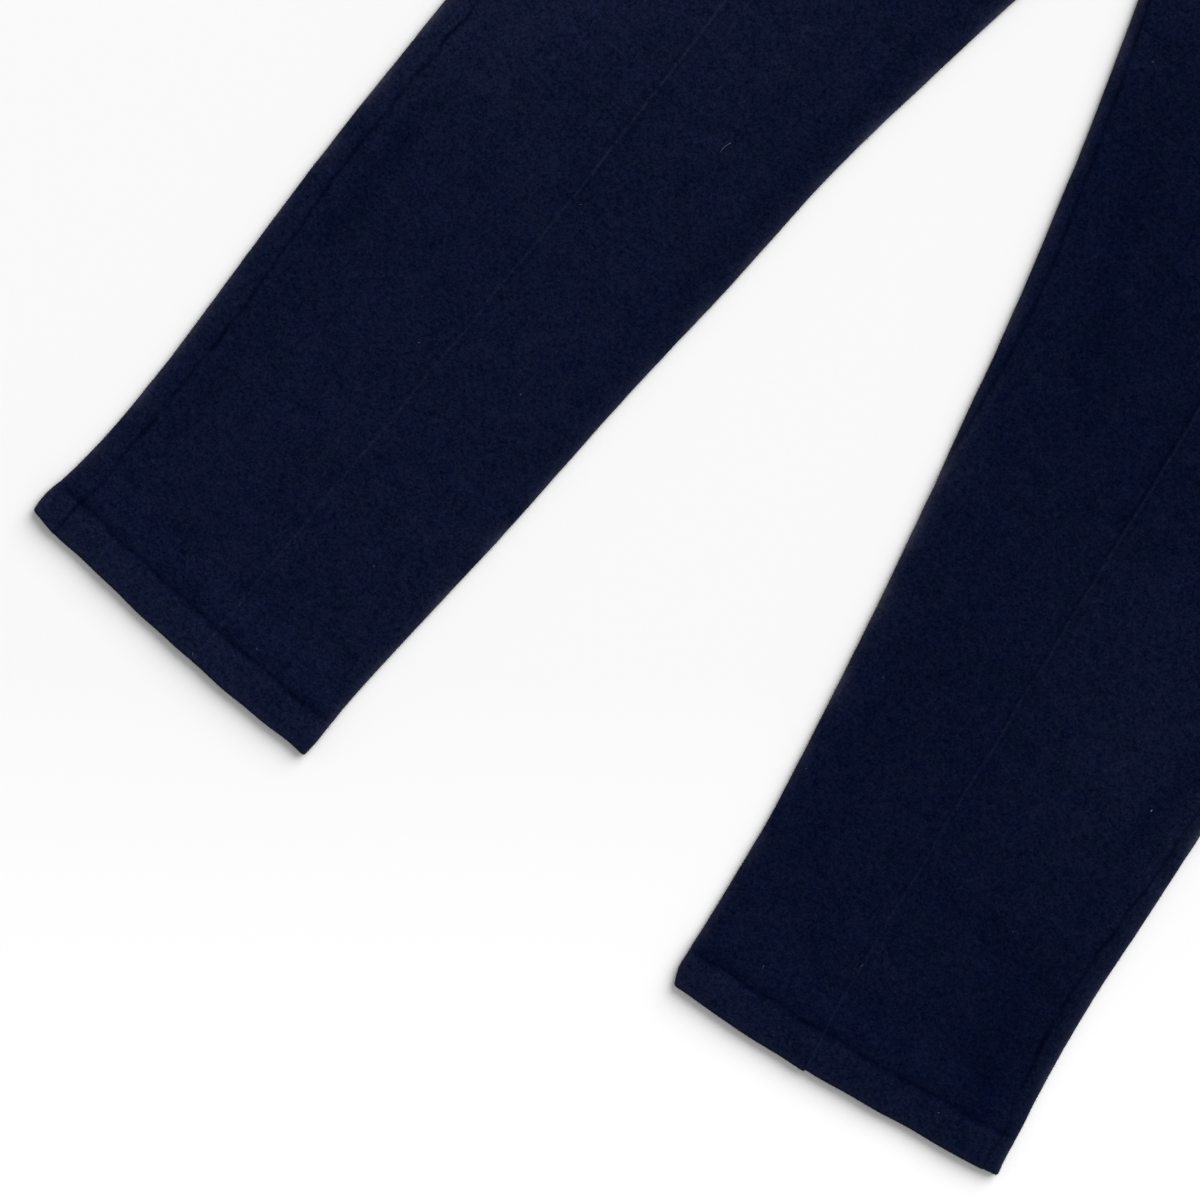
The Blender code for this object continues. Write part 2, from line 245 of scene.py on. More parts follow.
FRONT_CREASES = {
    Side.RIGHT: (
        Crease(570, 0.075, 330, 0.075, 8, -0.6, -0.15),
        Crease(330, 0.08, 220, 0.06, 9, -0.3, -0.10),
        Crease(545, 0.50, 385, 0.84, 55, 0.6, 0.17),
        Crease(450, 0.76, 372, 0.83, 24, 0.6, 0.18),
        Crease(470, 0.48, 430, 0.62, 20, 0.3, 0.10),
        Crease(505, 0.30, 430, 0.33, 18, 0.2, 0.08),
        Crease(405, 0.45, 340, 0.45, 9, -0.4, -0.11),
        Crease(300, 0.86, 235, 0.865, 8, -0.7, -0.18),
        Crease(235, 0.865, 75, 0.86, 8, -0.6, -0.13),
        Crease(310, 0.66, 300, 0.68, 9, -0.2, -0.06),
        Crease(385, 0.91, 285, 0.91, 5, 0.5, 0.12),
        Crease(400, 0.955, 325, 0.95, 8, 0.3, 0.20),
        Crease(410, 0.38, 335, 0.56, 22, 0.3, 0.09),
        Crease(48, 0.66, 38, 0.77, 9, -0.5, -0.14),
        Crease(99, 0.43, 92, 0.55, 7, -0.2, -0.08),
        Crease(203, 0.38, 196, 0.50, 7, -0.2, -0.07),
        Crease(305, 0.06, 300, 0.22, 8, -0.2, -0.05),
        Crease(157, 0.04, 142, 0.22, 11, 0.2, 0.05),
        Crease(62, 0.02, 52, 0.16, 12, 0.2, 0.06),
        Crease(152, 0.55, 148, 0.62, 8, 0.2, 0.06),
        Crease(240, 0.28, 232, 0.40, 9, 0.2, 0.05),
        Crease(76, 0.24, 56, 0.38, 12, -0.3, -0.07),
        Crease(408, 0.23, 406, 0.25, 5, 0.1, 0.08),
        Crease(690, 0.10, 600, 0.42, 14, -0.9, -0.08),
        Crease(735, 0.06, 700, 0.40, 15, 0.9, 0.06),
        Crease(800, 0.15, 845, 0.55, 16, -0.8, -0.06),
        Crease(880, 0.30, 790, 0.62, 14, 0.8, 0.05),
        Crease(640, 0.80, 540, 0.72, 14, 0.7, 0.07),
    ),
    Side.LEFT: (
        Crease(560, 0.13, 500, 0.16, 12, -0.5, -0.10),
        Crease(520, 0.15, 430, 0.19, 10, -0.6, -0.12),
        Crease(455, 0.19, 385, 0.26, 9, -0.5, -0.11),
        Crease(472, 0.36, 458, 0.38, 8, -0.2, -0.08),
        Crease(440, 0.485, 380, 0.45, 5, -0.3, -0.14),
        Crease(380, 0.45, 290, 0.42, 4, -0.2, -0.07),
        Crease(315, 0.58, 190, 0.78, 42, 0.5, 0.12),
        Crease(262, 0.78, 215, 0.80, 16, 0.3, 0.07),
        Crease(322, 0.68, 245, 0.77, 24, 0.5, 0.13),
        Crease(290, 0.50, 225, 0.62, 24, 0.3, 0.06),
        Crease(290, 0.95, 215, 0.95, 8, 0.3, 0.26),
        Crease(520, 0.27, 440, 0.27, 13, -0.3, -0.09),
        Crease(650, 0.10, 585, 0.07, 17, 0.3, 0.12),
        Crease(262, 0.89, 212, 0.865, 6, -0.6, -0.15),
        Crease(215, 0.865, 150, 0.85, 7, -0.6, -0.14),
        Crease(240, 0.955, 160, 0.945, 6, 0.3, 0.18),
        Crease(128, 0.40, 112, 0.70, 7, -0.4, -0.13),
        Crease(202, 0.38, 180, 0.46, 9, -0.2, -0.09),
        Crease(100, 0.80, 48, 0.86, 21, -0.8, -0.19),
        Crease(56, 0.76, 36, 0.92, 10, -0.5, -0.13),
        Crease(45, 0.50, 38, 0.62, 8, -0.3, -0.09),
        Crease(75, 0.43, 67, 0.46, 7, 0.2, 0.12),
        Crease(372, 0.012, 345, 0.018, 4, 0.2, 0.25),
        Crease(415, 0.09, 400, 0.12, 8, 0.3, 0.08),
        Crease(500, 0.03, 440, 0.03, 7, 0.4, 0.10),
        Crease(605, 0.10, 580, 0.16, 9, -0.4, -0.08),
        Crease(202, 0.12, 150, 0.10, 10, -0.3, -0.06),
        Crease(112, 0.12, 95, 0.14, 10, -0.2, -0.05),
        Crease(62, 0.14, 45, 0.20, 12, 0.2, 0.07),
        Crease(238, 0.16, 225, 0.30, 8, -0.2, -0.05),
        Crease(688, 0.12, 610, 0.46, 13, -0.8, -0.08),
        Crease(742, 0.05, 712, 0.44, 16, 0.9, 0.06),
        Crease(815, 0.20, 850, 0.60, 15, -0.8, -0.06),
        Crease(870, 0.42, 780, 0.70, 14, 0.7, 0.05),
        Crease(560, 0.62, 470, 0.74, 18, 0.5, 0.08),
        Crease(200, 0.95, 125, 0.95, 8, 0.2, 0.11),
        Crease(318, 0.85, 282, 0.86, 14, 0.3, 0.20),
        Crease(360, 0.05, 325, 0.05, 9, 0.2, 0.09),
        Crease(640, 0.17, 606, 0.15, 16, 0.2, 0.05),
        Crease(42, 0.955, 2, 0.965, 8, 0.1, 0.14),
        Crease(38, 0.85, 12, 0.85, 10, -0.2, -0.09),
    ),
}
# The back's creases, sunk, with painted shade in them.
BACK_CREASES = (
    Crease(110, 0.30, 250, 0.36, 12, -0.7, -0.06),
    Crease(300, 0.62, 420, 0.58, 14, -0.8, -0.07),
    Crease(480, 0.25, 560, 0.38, 13, -0.7, -0.06),
    Crease(690, 0.10, 620, 0.48, 15, -1.0, -0.08),
    Crease(740, 0.12, 700, 0.62, 14, -0.9, -0.07),
    Crease(830, 0.22, 870, 0.66, 15, -0.8, -0.06),
)


@dataclass(frozen=True)
class Gather:
    """One fold of the gathered waist, which runs down from the waist seam and widens as it fades.

    Share is its place, from 0 at the rise seam to 1 at the outer fold. Length is how far down it runs, and
    drift how far outwards it strays on the way. Lift is how far it stands up, or is sunk if less than 0.
    """

    share: float
    length: float
    drift: float
    lift: float


GATHERS = {
    Side.RIGHT: (
        Gather(0.035, 46, 2, -1.0),
        Gather(0.105, 88, 5, 1.1),
        Gather(0.180, 55, 3, -0.9),
        Gather(0.265, 118, 9, 1.3),
        Gather(0.340, 64, 4, -1.1),
        Gather(0.410, 74, 6, 0.9),
        Gather(0.500, 105, 8, -1.3),
        Gather(0.580, 60, 3, 1.0),
        Gather(0.655, 92, 7, -1.0),
        Gather(0.740, 130, 12, 1.3),
        Gather(0.815, 58, 4, -0.9),
        Gather(0.890, 84, 6, 1.0),
        Gather(0.960, 50, 3, -0.8),
    ),
    Side.LEFT: (
        Gather(0.050, 70, 3, 1.0),
        Gather(0.125, 52, 2, -1.1),
        Gather(0.215, 96, 7, 1.2),
        Gather(0.290, 58, 4, -0.9),
        Gather(0.365, 124, 10, -1.2),
        Gather(0.455, 80, 5, 1.2),
        Gather(0.535, 50, 3, -0.9),
        Gather(0.600, 110, 9, 1.1),
        Gather(0.690, 66, 4, -1.2),
        Gather(0.765, 86, 7, 0.9),
        Gather(0.850, 114, 9, -1.1),
        Gather(0.930, 62, 4, 1.1),
    ),
}


@dataclass(frozen=True)
class FoldSheen:
    """How strong the painted sheen of hair ends is on the inner and the outer fold of a side at one height,
    about 1.
    """

    up: float
    inner: float
    outer: float


# The strength of the painted sheen along each side's folds, by height.
FOLD_SHEEN = {
    Side.RIGHT: (
        FoldSheen(0, 0.35, 0.45),
        FoldSheen(30, 0.65, 0.85),
        FoldSheen(100, 1.0, 1.0),
        FoldSheen(250, 0.75, 0.9),
        FoldSheen(340, 0.75, 1.4),
        FoldSheen(450, 1.0, 1.2),
    ),
    Side.LEFT: (
        FoldSheen(0, 0.3, 0.35),
        FoldSheen(30, 0.45, 0.5),
        FoldSheen(70, 0.7, 0.9),
        FoldSheen(150, 0.7, 0.9),
        FoldSheen(235, 1.7, 1.3),
        FoldSheen(340, 1.7, 1.0),
        FoldSheen(390, 0.7, 0.9),
        FoldSheen(520, 0.6, 0.9),
        FoldSheen(620, 1.0, 0.9),
    ),
}


@dataclass(frozen=True)
class Strand:
    """A stray hair on the cloth: its place, length, heading and bend, and how thick and how pale it is."""

    side: Side
    up: float
    share: float
    length: float
    heading: float
    bend: float
    thick: float
    pale: float


STRANDS = (
    Strand(Side.RIGHT, 404.5, 0.239, 8.6, 98, -40, 0.30, 1.8),
    Strand(Side.RIGHT, 334.0, 0.418, 1.8, 20, 20, 0.34, 0.45),
    Strand(Side.RIGHT, 232.0, 0.210, 1.2, 60, 10, 0.38, 1.4),
    Strand(Side.RIGHT, 216.5, 0.502, 1.2, 35, 12, 0.36, 1.2),
    Strand(Side.RIGHT, 178.5, 0.827, 1.2, 70, 10, 0.24, 0.8),
    Strand(Side.RIGHT, 171.0, 0.087, 1.0, 50, 10, 0.26, 1.2),
    Strand(Side.RIGHT, 105.5, 0.201, 1.1, 110, 10, 0.34, 1.4),
    Strand(Side.RIGHT, 29.0, 0.286, 1.4, 150, 15, 0.30, 1.0),
    Strand(Side.RIGHT, 17.5, 0.327, 1.3, 30, 10, 0.25, 0.9),
    Strand(Side.RIGHT, 2.6, 0.410, 2.4, 100, 25, 0.30, 1.2),
    Strand(Side.LEFT, 580.5, 0.078, 1.4, 80, 10, 0.34, 1.3),
    Strand(Side.LEFT, 223.0, 0.860, 1.3, 80, 10, 0.55, 3.6),
    Strand(Side.LEFT, 210.0, 0.094, 1.1, 65, 10, 0.30, 1.3),
    Strand(Side.LEFT, 144.0, 0.024, 1.0, 50, 10, 0.26, 1.2),
    Strand(Side.LEFT, 123.5, 0.720, 1.0, 95, 10, 0.28, 1.0),
    Strand(Side.LEFT, 64.0, 0.414, 2.2, 78, -20, 0.42, 0.6),
    Strand(Side.LEFT, 35.0, 0.190, 2.6, 86, 12, 0.42, 0.75),
    Strand(Side.LEFT, 16.0, 0.783, 1.2, 15, 12, 0.36, 1.2),
    Strand(Side.RIGHT, 648.0, 0.560, 2.6, 35, 30, 0.26, 1.1),
    Strand(Side.LEFT, 790.0, 0.330, 3.0, 120, 35, 0.26, 1.1),
)


@dataclass(frozen=True)
class HairCover:
    """How many loose hairs a square metre of cloth has, how long they are and how far they lean."""

    count: float
    length: float
    lean: float


EDGE_HAIRS = HairCover(1.1e6, 0.95, 1.1)
FACE_HAIRS = HairCover(0.055e6, 2.2, 1.35)
UNDER_HAIRS = 0.004e6


@dataclass(frozen=True)
class Rib:
    """One of the wave trains that make up the fine ribs of the gathered waist."""

    spacing: float
    size: float
    phase: float


RIBS = (Rib(10.5, 1.0, 0.0), Rib(15.5, 0.7, 1.0), Rib(23.0, 0.5, 2.2))


def ease(low: float, high: float, value: Array | float) -> Array:
    """A smooth step: 0 below low, 1 above high, and a smooth rise between."""
    share = np.clip((np.asarray(value, float) - low) / (high - low), 0.0, 1.0)
    return share * share * (3 - 2 * share)


def growing(share: float, low: float, high: float, value: Array) -> Array:
    """A smooth step up to 1 that starts from this share of it."""
    return share + (1 - share) * ease(low, high, value)


def bell(distance: Array, reach: float) -> Array:
    """1 at no distance, falling away smoothly within about twice the reach."""
    return np.exp(-((distance / reach) ** 2))


def graded(marks: Sequence[Pair]) -> Array:
    """Positions from the first mark to the last, spaced as the marks say.

    Args:
        marks: Pairs of a position and the spacing wanted there, in order.

    Returns:
        The positions, both ends included.
    """
    places, spacings = np.array(marks, float).T
    fine = np.linspace(places[0], places[-1], GRADE_STEPS)
    density = 1 / np.interp(fine, places, spacings)
    counts = np.concatenate(([0.0], np.cumsum((density[1:] + density[:-1]) / 2 * np.diff(fine))))
    wanted = np.linspace(0, counts[-1], max(2, round(counts[-1]) + 1))
    return np.interp(wanted, counts, fine)


@dataclass(frozen=True)
class Ripple:
    """A gentle unevenness without a repeat: plane waves of about one length, in all directions."""

    seed: int
    wavelength: float
    size: float = 1.0
    waves: int = 9

    def __call__(self, x: Array, y: Array) -> Array:
        """The unevenness at some points.

        Args:
            x: Their places across.
            y: Their places along.

        Returns:
            Values with a standard deviation of about the size.
        """
        chance = np.random.default_rng(self.seed)
        total = np.zeros(np.broadcast(x, y).shape)
        for _ in range(self.waves):
            angle = chance.uniform(0, math.tau)
            pace = math.tau / (self.wavelength * chance.uniform(0.7, 1.5))
            phase = chance.uniform(0, math.tau)
            total += np.sin(pace * (np.cos(angle) * x + np.sin(angle) * y) + phase)
        return self.size * (total / math.sqrt(self.waves / 2))

    def along(self, place: Array | float) -> Array:
        """The unevenness along a line."""
        return self(place, 0 * place)


HEM_STITCH_WANDER = Ripple(3, 38, 0.45)
HEM_STITCH_PULL = Ripple(4, 16, 0.2)
HEM_PUCKERS = Ripple(5, 10, 0.6)
HEM_EDGE_WANDER = Ripple(6, 32, 0.25)
FINE_WAVES = Ripple(21, 17, 0.10)
BROAD_WAVES = Ripple(22, 46, 0.16)
WAISTBAND_WAVES = Ripple(23, 15, 0.12)
TUCK_WANDER = Ripple(41, 45, 0.22)
TUCK_STANDING = Ripple(42, 70, 0.2)
OUTSEAM_WANDER = Ripple(51, 30, 0.5)
WAIST_SEAM_WANDER = Ripple(61, 24, 0.45)
RIB_WANDER = Ripple(62, 30, 1.2)
# Long uneven patches in the painted sheen along the folds.
SHEEN_PATCHES = Ripple(71, 40, 0.32)


@dataclass
class Section:
    """One cross-section of a flattened tube of cloth, in its own plane.

    A place on it is the distance along the cloth from the tip of the inner fold: over the front to the
    tip of the outer fold at `length`, and back underneath to 2 * length, which is the inner tip again.
    Below 0 it is underneath, and past 2 * length it is on the front. Closed is 1 where there is an inner
    fold and 0 where the cloth runs on past the middle line.
    """

    inner: Array
    outer: Array
    middle_height: float
    inner_height: float
    outer_height: float
    closed: float = 1.0
    bow: float = 0.0
    width: float = field(init=False)
    across: Array = field(init=False)
    radius: Pair = field(init=False)
    turn: Pair = field(init=False)
    length: float = field(init=False)

    def __post_init__(self) -> None:
        """Works out the section's width, folds and length along the cloth."""
        span = np.subtract(self.outer, self.inner)
        self.width = float(np.linalg.norm(span))
        self.across = span / self.width
        self.radius = (self.inner_height / 2, self.outer_height / 2)
        self.turn = (math.pi * self.radius[0] / 2, math.pi * self.radius[1] / 2)
        folds = self.closed * (self.turn[0] - self.radius[0]) + self.turn[1] - self.radius[1]
        self.length = self.width + folds

    def height(self, across: Array) -> Array:
        """How high the top of the front is.

        Args:
            across: Distances from the inner edge.

        Returns:
            The heights there.
        """
        from_inner = 1 - ease(self.radius[0], EDGE_REACH, across)
        from_outer = 1 - ease(self.radius[1], EDGE_REACH, self.width - across)
        inner_rise = (2 * self.radius[0] - self.middle_height) * from_inner
        outer_rise = (2 * self.radius[1] - self.middle_height) * from_outer
        return self.middle_height + inner_rise + outer_rise

    def contour(self, place: Array) -> tuple[Array, Array, Array, Array]:
        """The outer surface of the cloth at some places.

        Args:
            place: Places along the cloth.

        Returns:
            The distance across, the height, and the outward normal's parts across and up.
        """
        double = 2 * self.length
        place = np.where((place > double) & (self.closed > 0), place - double, place)
        on_top = (place >= 0) & (place <= self.length)
        side = np.where(on_top, 1.0, -1.0)
        over = np.where(on_top, place, np.where(place < 0, -place, double - place))
        at_outer = over > self.length / 2
        from_tip = np.where(at_outer, self.length - over, over)
        radius = np.where(at_outer, self.radius[1], self.radius[0])
        turn = np.where(at_outer, self.turn[1], self.turn[0])
        angle = np.clip(from_tip / radius, 0, math.pi / 2)
        rounded = from_tip < turn
        flat_across = radius + from_tip - turn
        here = np.where(at_outer, self.width - flat_across, flat_across)
        slope = (self.height(here + 0.5) - self.height(here - 0.5)) * np.where(at_outer, -1, 1)
        across = np.where(rounded, radius * (1 - np.cos(angle)), flat_across)
        high = np.where(rounded, radius * (1 + side * np.sin(angle)), self.height(here) * on_top)
        normal_across = np.where(rounded, -np.cos(angle), -slope * on_top)
        normal_up = np.where(rounded, side * np.sin(angle), side)
        if self.closed < 1:
            share = np.where(at_outer, 1.0, self.closed)
            across = share * across + (1 - share) * from_tip
            high = share * high + (1 - share) * self.height(from_tip) * on_top
            normal_across = share * normal_across
            normal_up = share * normal_up + (1 - share) * side
        size = np.hypot(normal_across, normal_up)
        normal_across = np.where(at_outer, -1, 1) * normal_across / size
        across = np.where(at_outer, self.width - across, across)
        return across, high, normal_across, normal_up / size

    def points(self, place: Array, depth: float) -> tuple[Array, Array]:
        """Points in the garment's frame, this deep under the outer surface.

        Args:
            place: Places along the cloth.
            depth: How deep the points are.

        Returns:
            The points and the outward normals there, one row each.
        """
        across, high, normal_across, normal_up = self.contour(place)
        across = across - depth * normal_across
        high = high - depth * normal_up
        share = across / self.width
        x = self.inner[0] + self.across[0] * across
        y = self.inner[1] + self.across[1] * across - self.bow * 4 * share * (1 - share)
        normals = (self.across[0] * normal_across, self.across[1] * normal_across, normal_up)
        return np.stack((x, y, high), 1), np.stack(normals, 1)

    def from_fold(self, place: Array) -> Array:
        """How far places are from the nearer fold, as seen from above."""
        across = self.contour(place)[0]
        return np.minimum(across + (1 - self.closed) * self.width, self.width - across)

    def front_place(self, across: float) -> float:
        """The place on the front that is this far across from the inner edge."""
        return across + self.closed * (self.turn[0] - self.radius[0])


@dataclass
class Leg:
    """One side of the garment, from the hem to the waist seam."""

    side: Side

    def column(self, name: str, up: float) -> float:
        """One of the rows' columns at a height, on a smooth curve through the rows.

        Args:
            name: The column's name.
            up: The height above the hem.

        Returns:
            The column's value in millimetres.
        """
        rows = LEG_ROWS[self.side] + HIP_ROWS
        heights = [row.up for row in rows]
        values = [getattr(row, name) for row in rows]
        slopes = np.gradient(values, heights)
        k = min(max(int(np.searchsorted(heights, up)) - 1, 0), len(rows) - 2)
        span = heights[k + 1] - heights[k]
        t = min(max((up - heights[k]) / span, 0.0), 1.0)
        start = (2 * t**3 - 3 * t**2 + 1) * values[k] + (t**3 - 2 * t**2 + t) * span * slopes[k]
        end = (3 * t**2 - 2 * t**3) * values[k + 1] + (t**3 - t**2) * span * slopes[k + 1]
        return start + end

    def middle_height(self, up: float) -> float:
        """How high the middle of the front is: four layers in the hem, two above, gathers on top.

        Args:
            up: The height above the hem.

        Returns:
            The height of the cloth's top above the surface that it lies on.
        """
        hem = 1 - ease(HEM_DEPTH, HEM_DEPTH + HEM_EASE, up)
        waist = ease(WAIST_SEAM - WAIST_EASE, WAIST_SEAM, up)
        gathers = GATHER_RISE * math.sin(math.pi * waist)
        return TWO_LAYERS + (FOUR_LAYERS - TWO_LAYERS) * float(hem + waist) + gathers

    def section(self, up: float) -> Section:
        """The cross-section at a height.

        Args:
            up: The height above the hem.

        Returns:
            The section, slanted and bowed as the leg lies.
        """
        fade = float(1 - ease(*SLANT_FADE, up))
        lie = LIES[self.side]
        slant = lie.slant * fade
        level = up - CROTCH - lie.drop * fade
        inner = max(self.column("inner", up), 0.0)
        outer = self.column("outer", up)
        middle = self.middle_height(up)
        closed = float(1 - ease(CROTCH - CROTCH_OPENING, CROTCH, up))
        edge = max(EDGE_HEIGHT, middle)
        return Section(
            np.array((self.side.value * inner, level - slant / 2)),
            np.array((self.side.value * outer, level + slant / 2)),
            middle,
            closed * edge + (1 - closed) * middle,
            edge,
            closed,
            HEM_BOW * float(1 - ease(0, BOW_FADE, up)),
        )

    def seams(self, up: float, section: Section) -> Triple:
        """Where the inseam, the tuck and the outseam cross a section.

        Args:
            up: The section's height.
            section: The section.

        Returns:
            Their places along the cloth.
        """
        inseam = self.column("inseam", up) * section.closed
        outseam = section.length - self.column("outseam", up) + float(OUTSEAM_WANDER.along(up))
        inner, outer = self.column("inner", up), self.column("outer", up)
        share = (self.column("tuck", up) - inner) / (outer - inner)
        return inseam, section.front_place(share * section.width), outseam


@dataclass(frozen=True)
class Stretch:
    """The columns of a panel's grid between two seams or folds.

    The marks are pairs of a place and the spacing wanted there, for a stretch of the nominal length. A
    longer or shorter one keeps the columns near its ends where they are, and spreads those between.
    """

    marks: tuple[Pair, ...]
    near_start: float
    near_end: float

    def columns(self, start: float, end: float) -> Array:
        """The columns' places.

        Args:
            start: Where the stretch starts.
            end: Where it ends.

        Returns:
            The places, both ends included.
        """
        wanted = graded(self.marks)
        nominal, length = wanted[-1], end - start
        fixed = (0, self.near_start, nominal - self.near_end, nominal)
        moved = (0, self.near_start, length - self.near_end, length)
        return start + np.interp(wanted, fixed, moved)


FROM_INSEAM = ((0, 0.45), (2.5, 0.6), (4, 0.8), (11.5, 0.8), (18, 2.0), (28, 3.6))
INSEAM_TO_TUCK = Stretch((*FROM_INSEAM, (72, 3.6), (79, 1.4), (83.6, 0.45), (85, 0.4)), 22, 14)
FROM_TUCK = ((0, 0.4), (1.4, 0.45), (6, 1.4), (13, 3.6))
TUCK_TO_OUTSEAM = Stretch((*FROM_TUCK, (98, 3.6), (108, 2.0), (112, 0.8), (115, 0.45)), 14, 17)
FROM_OUTSEAM = ((0, 0.45), (2.5, 0.6), (5, 0.8), (24, 0.8), (34, 3.0), (50, 5.0), (190, 5.0))
OUTSEAM_TO_INSEAM = Stretch((*FROM_OUTSEAM, (206, 2.0), (214, 0.8), (228, 0.8), (230, 0.5)), 36, 26)
FIRST_FOLD = ((85, 2.4), (97, 1.0), (108, 1.0), (120, 2.4))
SECOND_FOLD = ((480, 2.4), (492, 1.0), (503, 1.0), (515, 2.4))
ONCE_ROUND = Stretch(((0, 2.4), *FIRST_FOLD, *SECOND_FOLD, (790, 2.4)), 0, 0)


@dataclass
class Laid:
    """What the grid's points know of where they lie on the garment."""

    point: Array
    normal: Array
    chart: Array
    up: Array
    from_inseam: Array
    from_outseam: Array
    from_tuck: Array
    from_fold: Array
    share: Array
    width: Array
    outer_face: Array

    @classmethod
    def blank(cls, count: int) -> Laid:
        """Room for this many points."""
        return cls(*(np.zeros((count, size)) for size in (3, 3, 2)), *(np.zeros(count) for _ in range(8)))

    @property
    def x(self) -> Array:
        """Distances towards the wearer's left."""
        return self.point[:, 0]

    @property
    def y(self) -> Array:
        """Distances towards the waist."""
        return self.point[:, 1]

    @property
    def facing(self) -> Array:
        """How far the cloth faces up: 1 on the front, 0 at a fold's edge and -1 underneath."""
        return self.normal[:, 2]


def tip_profile(length: float, from_fold: Array) -> list[Pair]:
    """The face of a strip whose end is turned in, from its raw end to the fold and out again.

    Args:
        length: How far the turned part reaches.
        from_fold: Distances above the fold of the part that shows.

    Returns:
        Pairs of a distance above the fold and a depth below the outer surface.
    """
    turned = [(up, TWO_LAYERS) for up in np.linspace(length, TIP_RADIUS, TURNED_ROWS)]
    tip = []
    for step in range(1, TIP_STEPS):
        angle = math.pi * (1 - step / TIP_STEPS)
        tip.append((TIP_RADIUS * (1 - math.sin(angle)), TIP_RADIUS * (1 - math.cos(angle))))
    return turned + tip + [(up, 0.0) for up in from_fold]


class NodeTree:
    """A short way to add and join nodes."""

    def __init__(self, tree: bpy.types.NodeTree) -> None:
        """Starts on a tree, and empties it."""
        self.tree = tree
        tree.nodes.clear()

    def add(
        self, kind: str, inputs: dict[str | int, object] | None = None, **settings: str
    ) -> bpy.types.Node:
        """Adds a node.

        Args:
            kind: The node's type.
            inputs: Its inputs by name or number, each a value or another node's output.
            settings: Its own settings.

        Returns:
            The node.
        """
        node = self.tree.nodes.new(kind)
        for name, value in settings.items():
            setattr(node, name, value)
        for name, value in (inputs or {}).items():
            if isinstance(value, Socket):
                self.tree.links.new(value, node.inputs[name])
            else:
                node.inputs[name].default_value = value
        return node

    def math(self, operation: str, first: object, second: object) -> Socket:
        """The result of a sum on two numbers."""
        return self.add("ShaderNodeMath", {0: first, 1: second}, operation=operation).outputs[0]

    def vector(self, operation: str, first: object, second: object) -> Socket:
        """The result of a sum on two vectors, or of scaling one."""
        inputs = {0: first, "Scale" if operation == "SCALE" else 1: second}
        return self.add("ShaderNodeVectorMath", inputs, operation=operation).outputs[0]

    def parts(self, vector: object) -> list[Socket]:
        """A vector's three parts."""
        return list(self.add("ShaderNodeSeparateXYZ", {0: vector}).outputs)

    def joined(self, x: object, y: object, z: object) -> Socket:
        """The vector that has three parts."""
        return self.add("ShaderNodeCombineXYZ", {0: x, 1: y, 2: z}).outputs[0]

    def place(self) -> Socket:
        """The object's own coordinates in metres, for a shader."""
        return self.add("ShaderNodeTexCoord").outputs["Object"]

    def held(self, name: str) -> Socket:
        """A number that the mesh holds at each point, for a shader."""
        return self.add("ShaderNodeAttribute", attribute_name=name).outputs["Fac"]

    def surface(self, inputs: dict[str, object]) -> bpy.types.Node:
        """Adds a material's shader and its output.

        Args:
            inputs: The shader's inputs by name.

        Returns:
            The shader's node.
        """
        shader = self.add("ShaderNodeBsdfPrincipled", inputs)
        self.add("ShaderNodeOutputMaterial", {"Surface": shader.outputs[0]})
        return shader


def new_material(name: str) -> tuple[bpy.types.Material, NodeTree]:
    """A material to build.

    Args:
        name: The material's name.

    Returns:
        The material and its empty node tree.
    """
    material = bpy.data.materials.new(name)
    material.use_nodes = True
    return material, NodeTree(material.node_tree)


def finished_mesh(name: str, mesh: bmesh.types.BMesh) -> bpy.types.Mesh:
    """The mesh that a bmesh makes.

    Args:
        name: The mesh's name.
        mesh: The bmesh, which is freed.

    Returns:
        The mesh.
    """
    data = bpy.data.meshes.new(name)
    mesh.to_mesh(data)
    mesh.free()
    return data


def put_in_scene(name: str, data: bpy.types.ID) -> bpy.types.Object:
    """Makes an object and links it to the scene.

    Args:
        name: The object's name.
        data: Its mesh, camera or light.

    Returns:
        The object.
    """
    made = bpy.data.objects.new(name, data)
    bpy.context.scene.collection.objects.link(made)
    return made


@dataclass(frozen=True)
class Cloud:
    """A cloudy pattern.

    Size is the width of one cloud in millimetres, strength how much it adds, in each of a colour's parts
    if it changes the hue, twist how distorted it is, and detail how much finer cloud lies on it.
    """

    size: float
    strength: float | Triple
    twist: float
    detail: float = 3.0

    def pattern(self, nodes: NodeTree, place: object) -> bpy.types.Node:
        """The pattern's node, whose Fac and Color run from 0 to 1."""
        inputs = {"Vector": place, "Scale": 1 / (self.size * MM), "Detail": self.detail}
        return nodes.add("ShaderNodeTexNoise", inputs | {"Distortion": self.twist})

    def amount(self, nodes: NodeTree, place: object) -> Socket:
        """What the pattern adds to a number, about 0."""
        even = nodes.math("SUBTRACT", self.pattern(nodes, place).outputs["Fac"], 0.5)
        return nodes.math("MULTIPLY", even, self.strength)

    def hue(self, nodes: NodeTree, place: object) -> Socket:
        """What the pattern adds to a colour, about 0, as the dye takes unevenly."""
        even = nodes.vector("SUBTRACT", self.pattern(nodes, place).outputs["Color"], (0.5, 0.5, 0.5))
        return nodes.vector("MULTIPLY", even, self.strength)


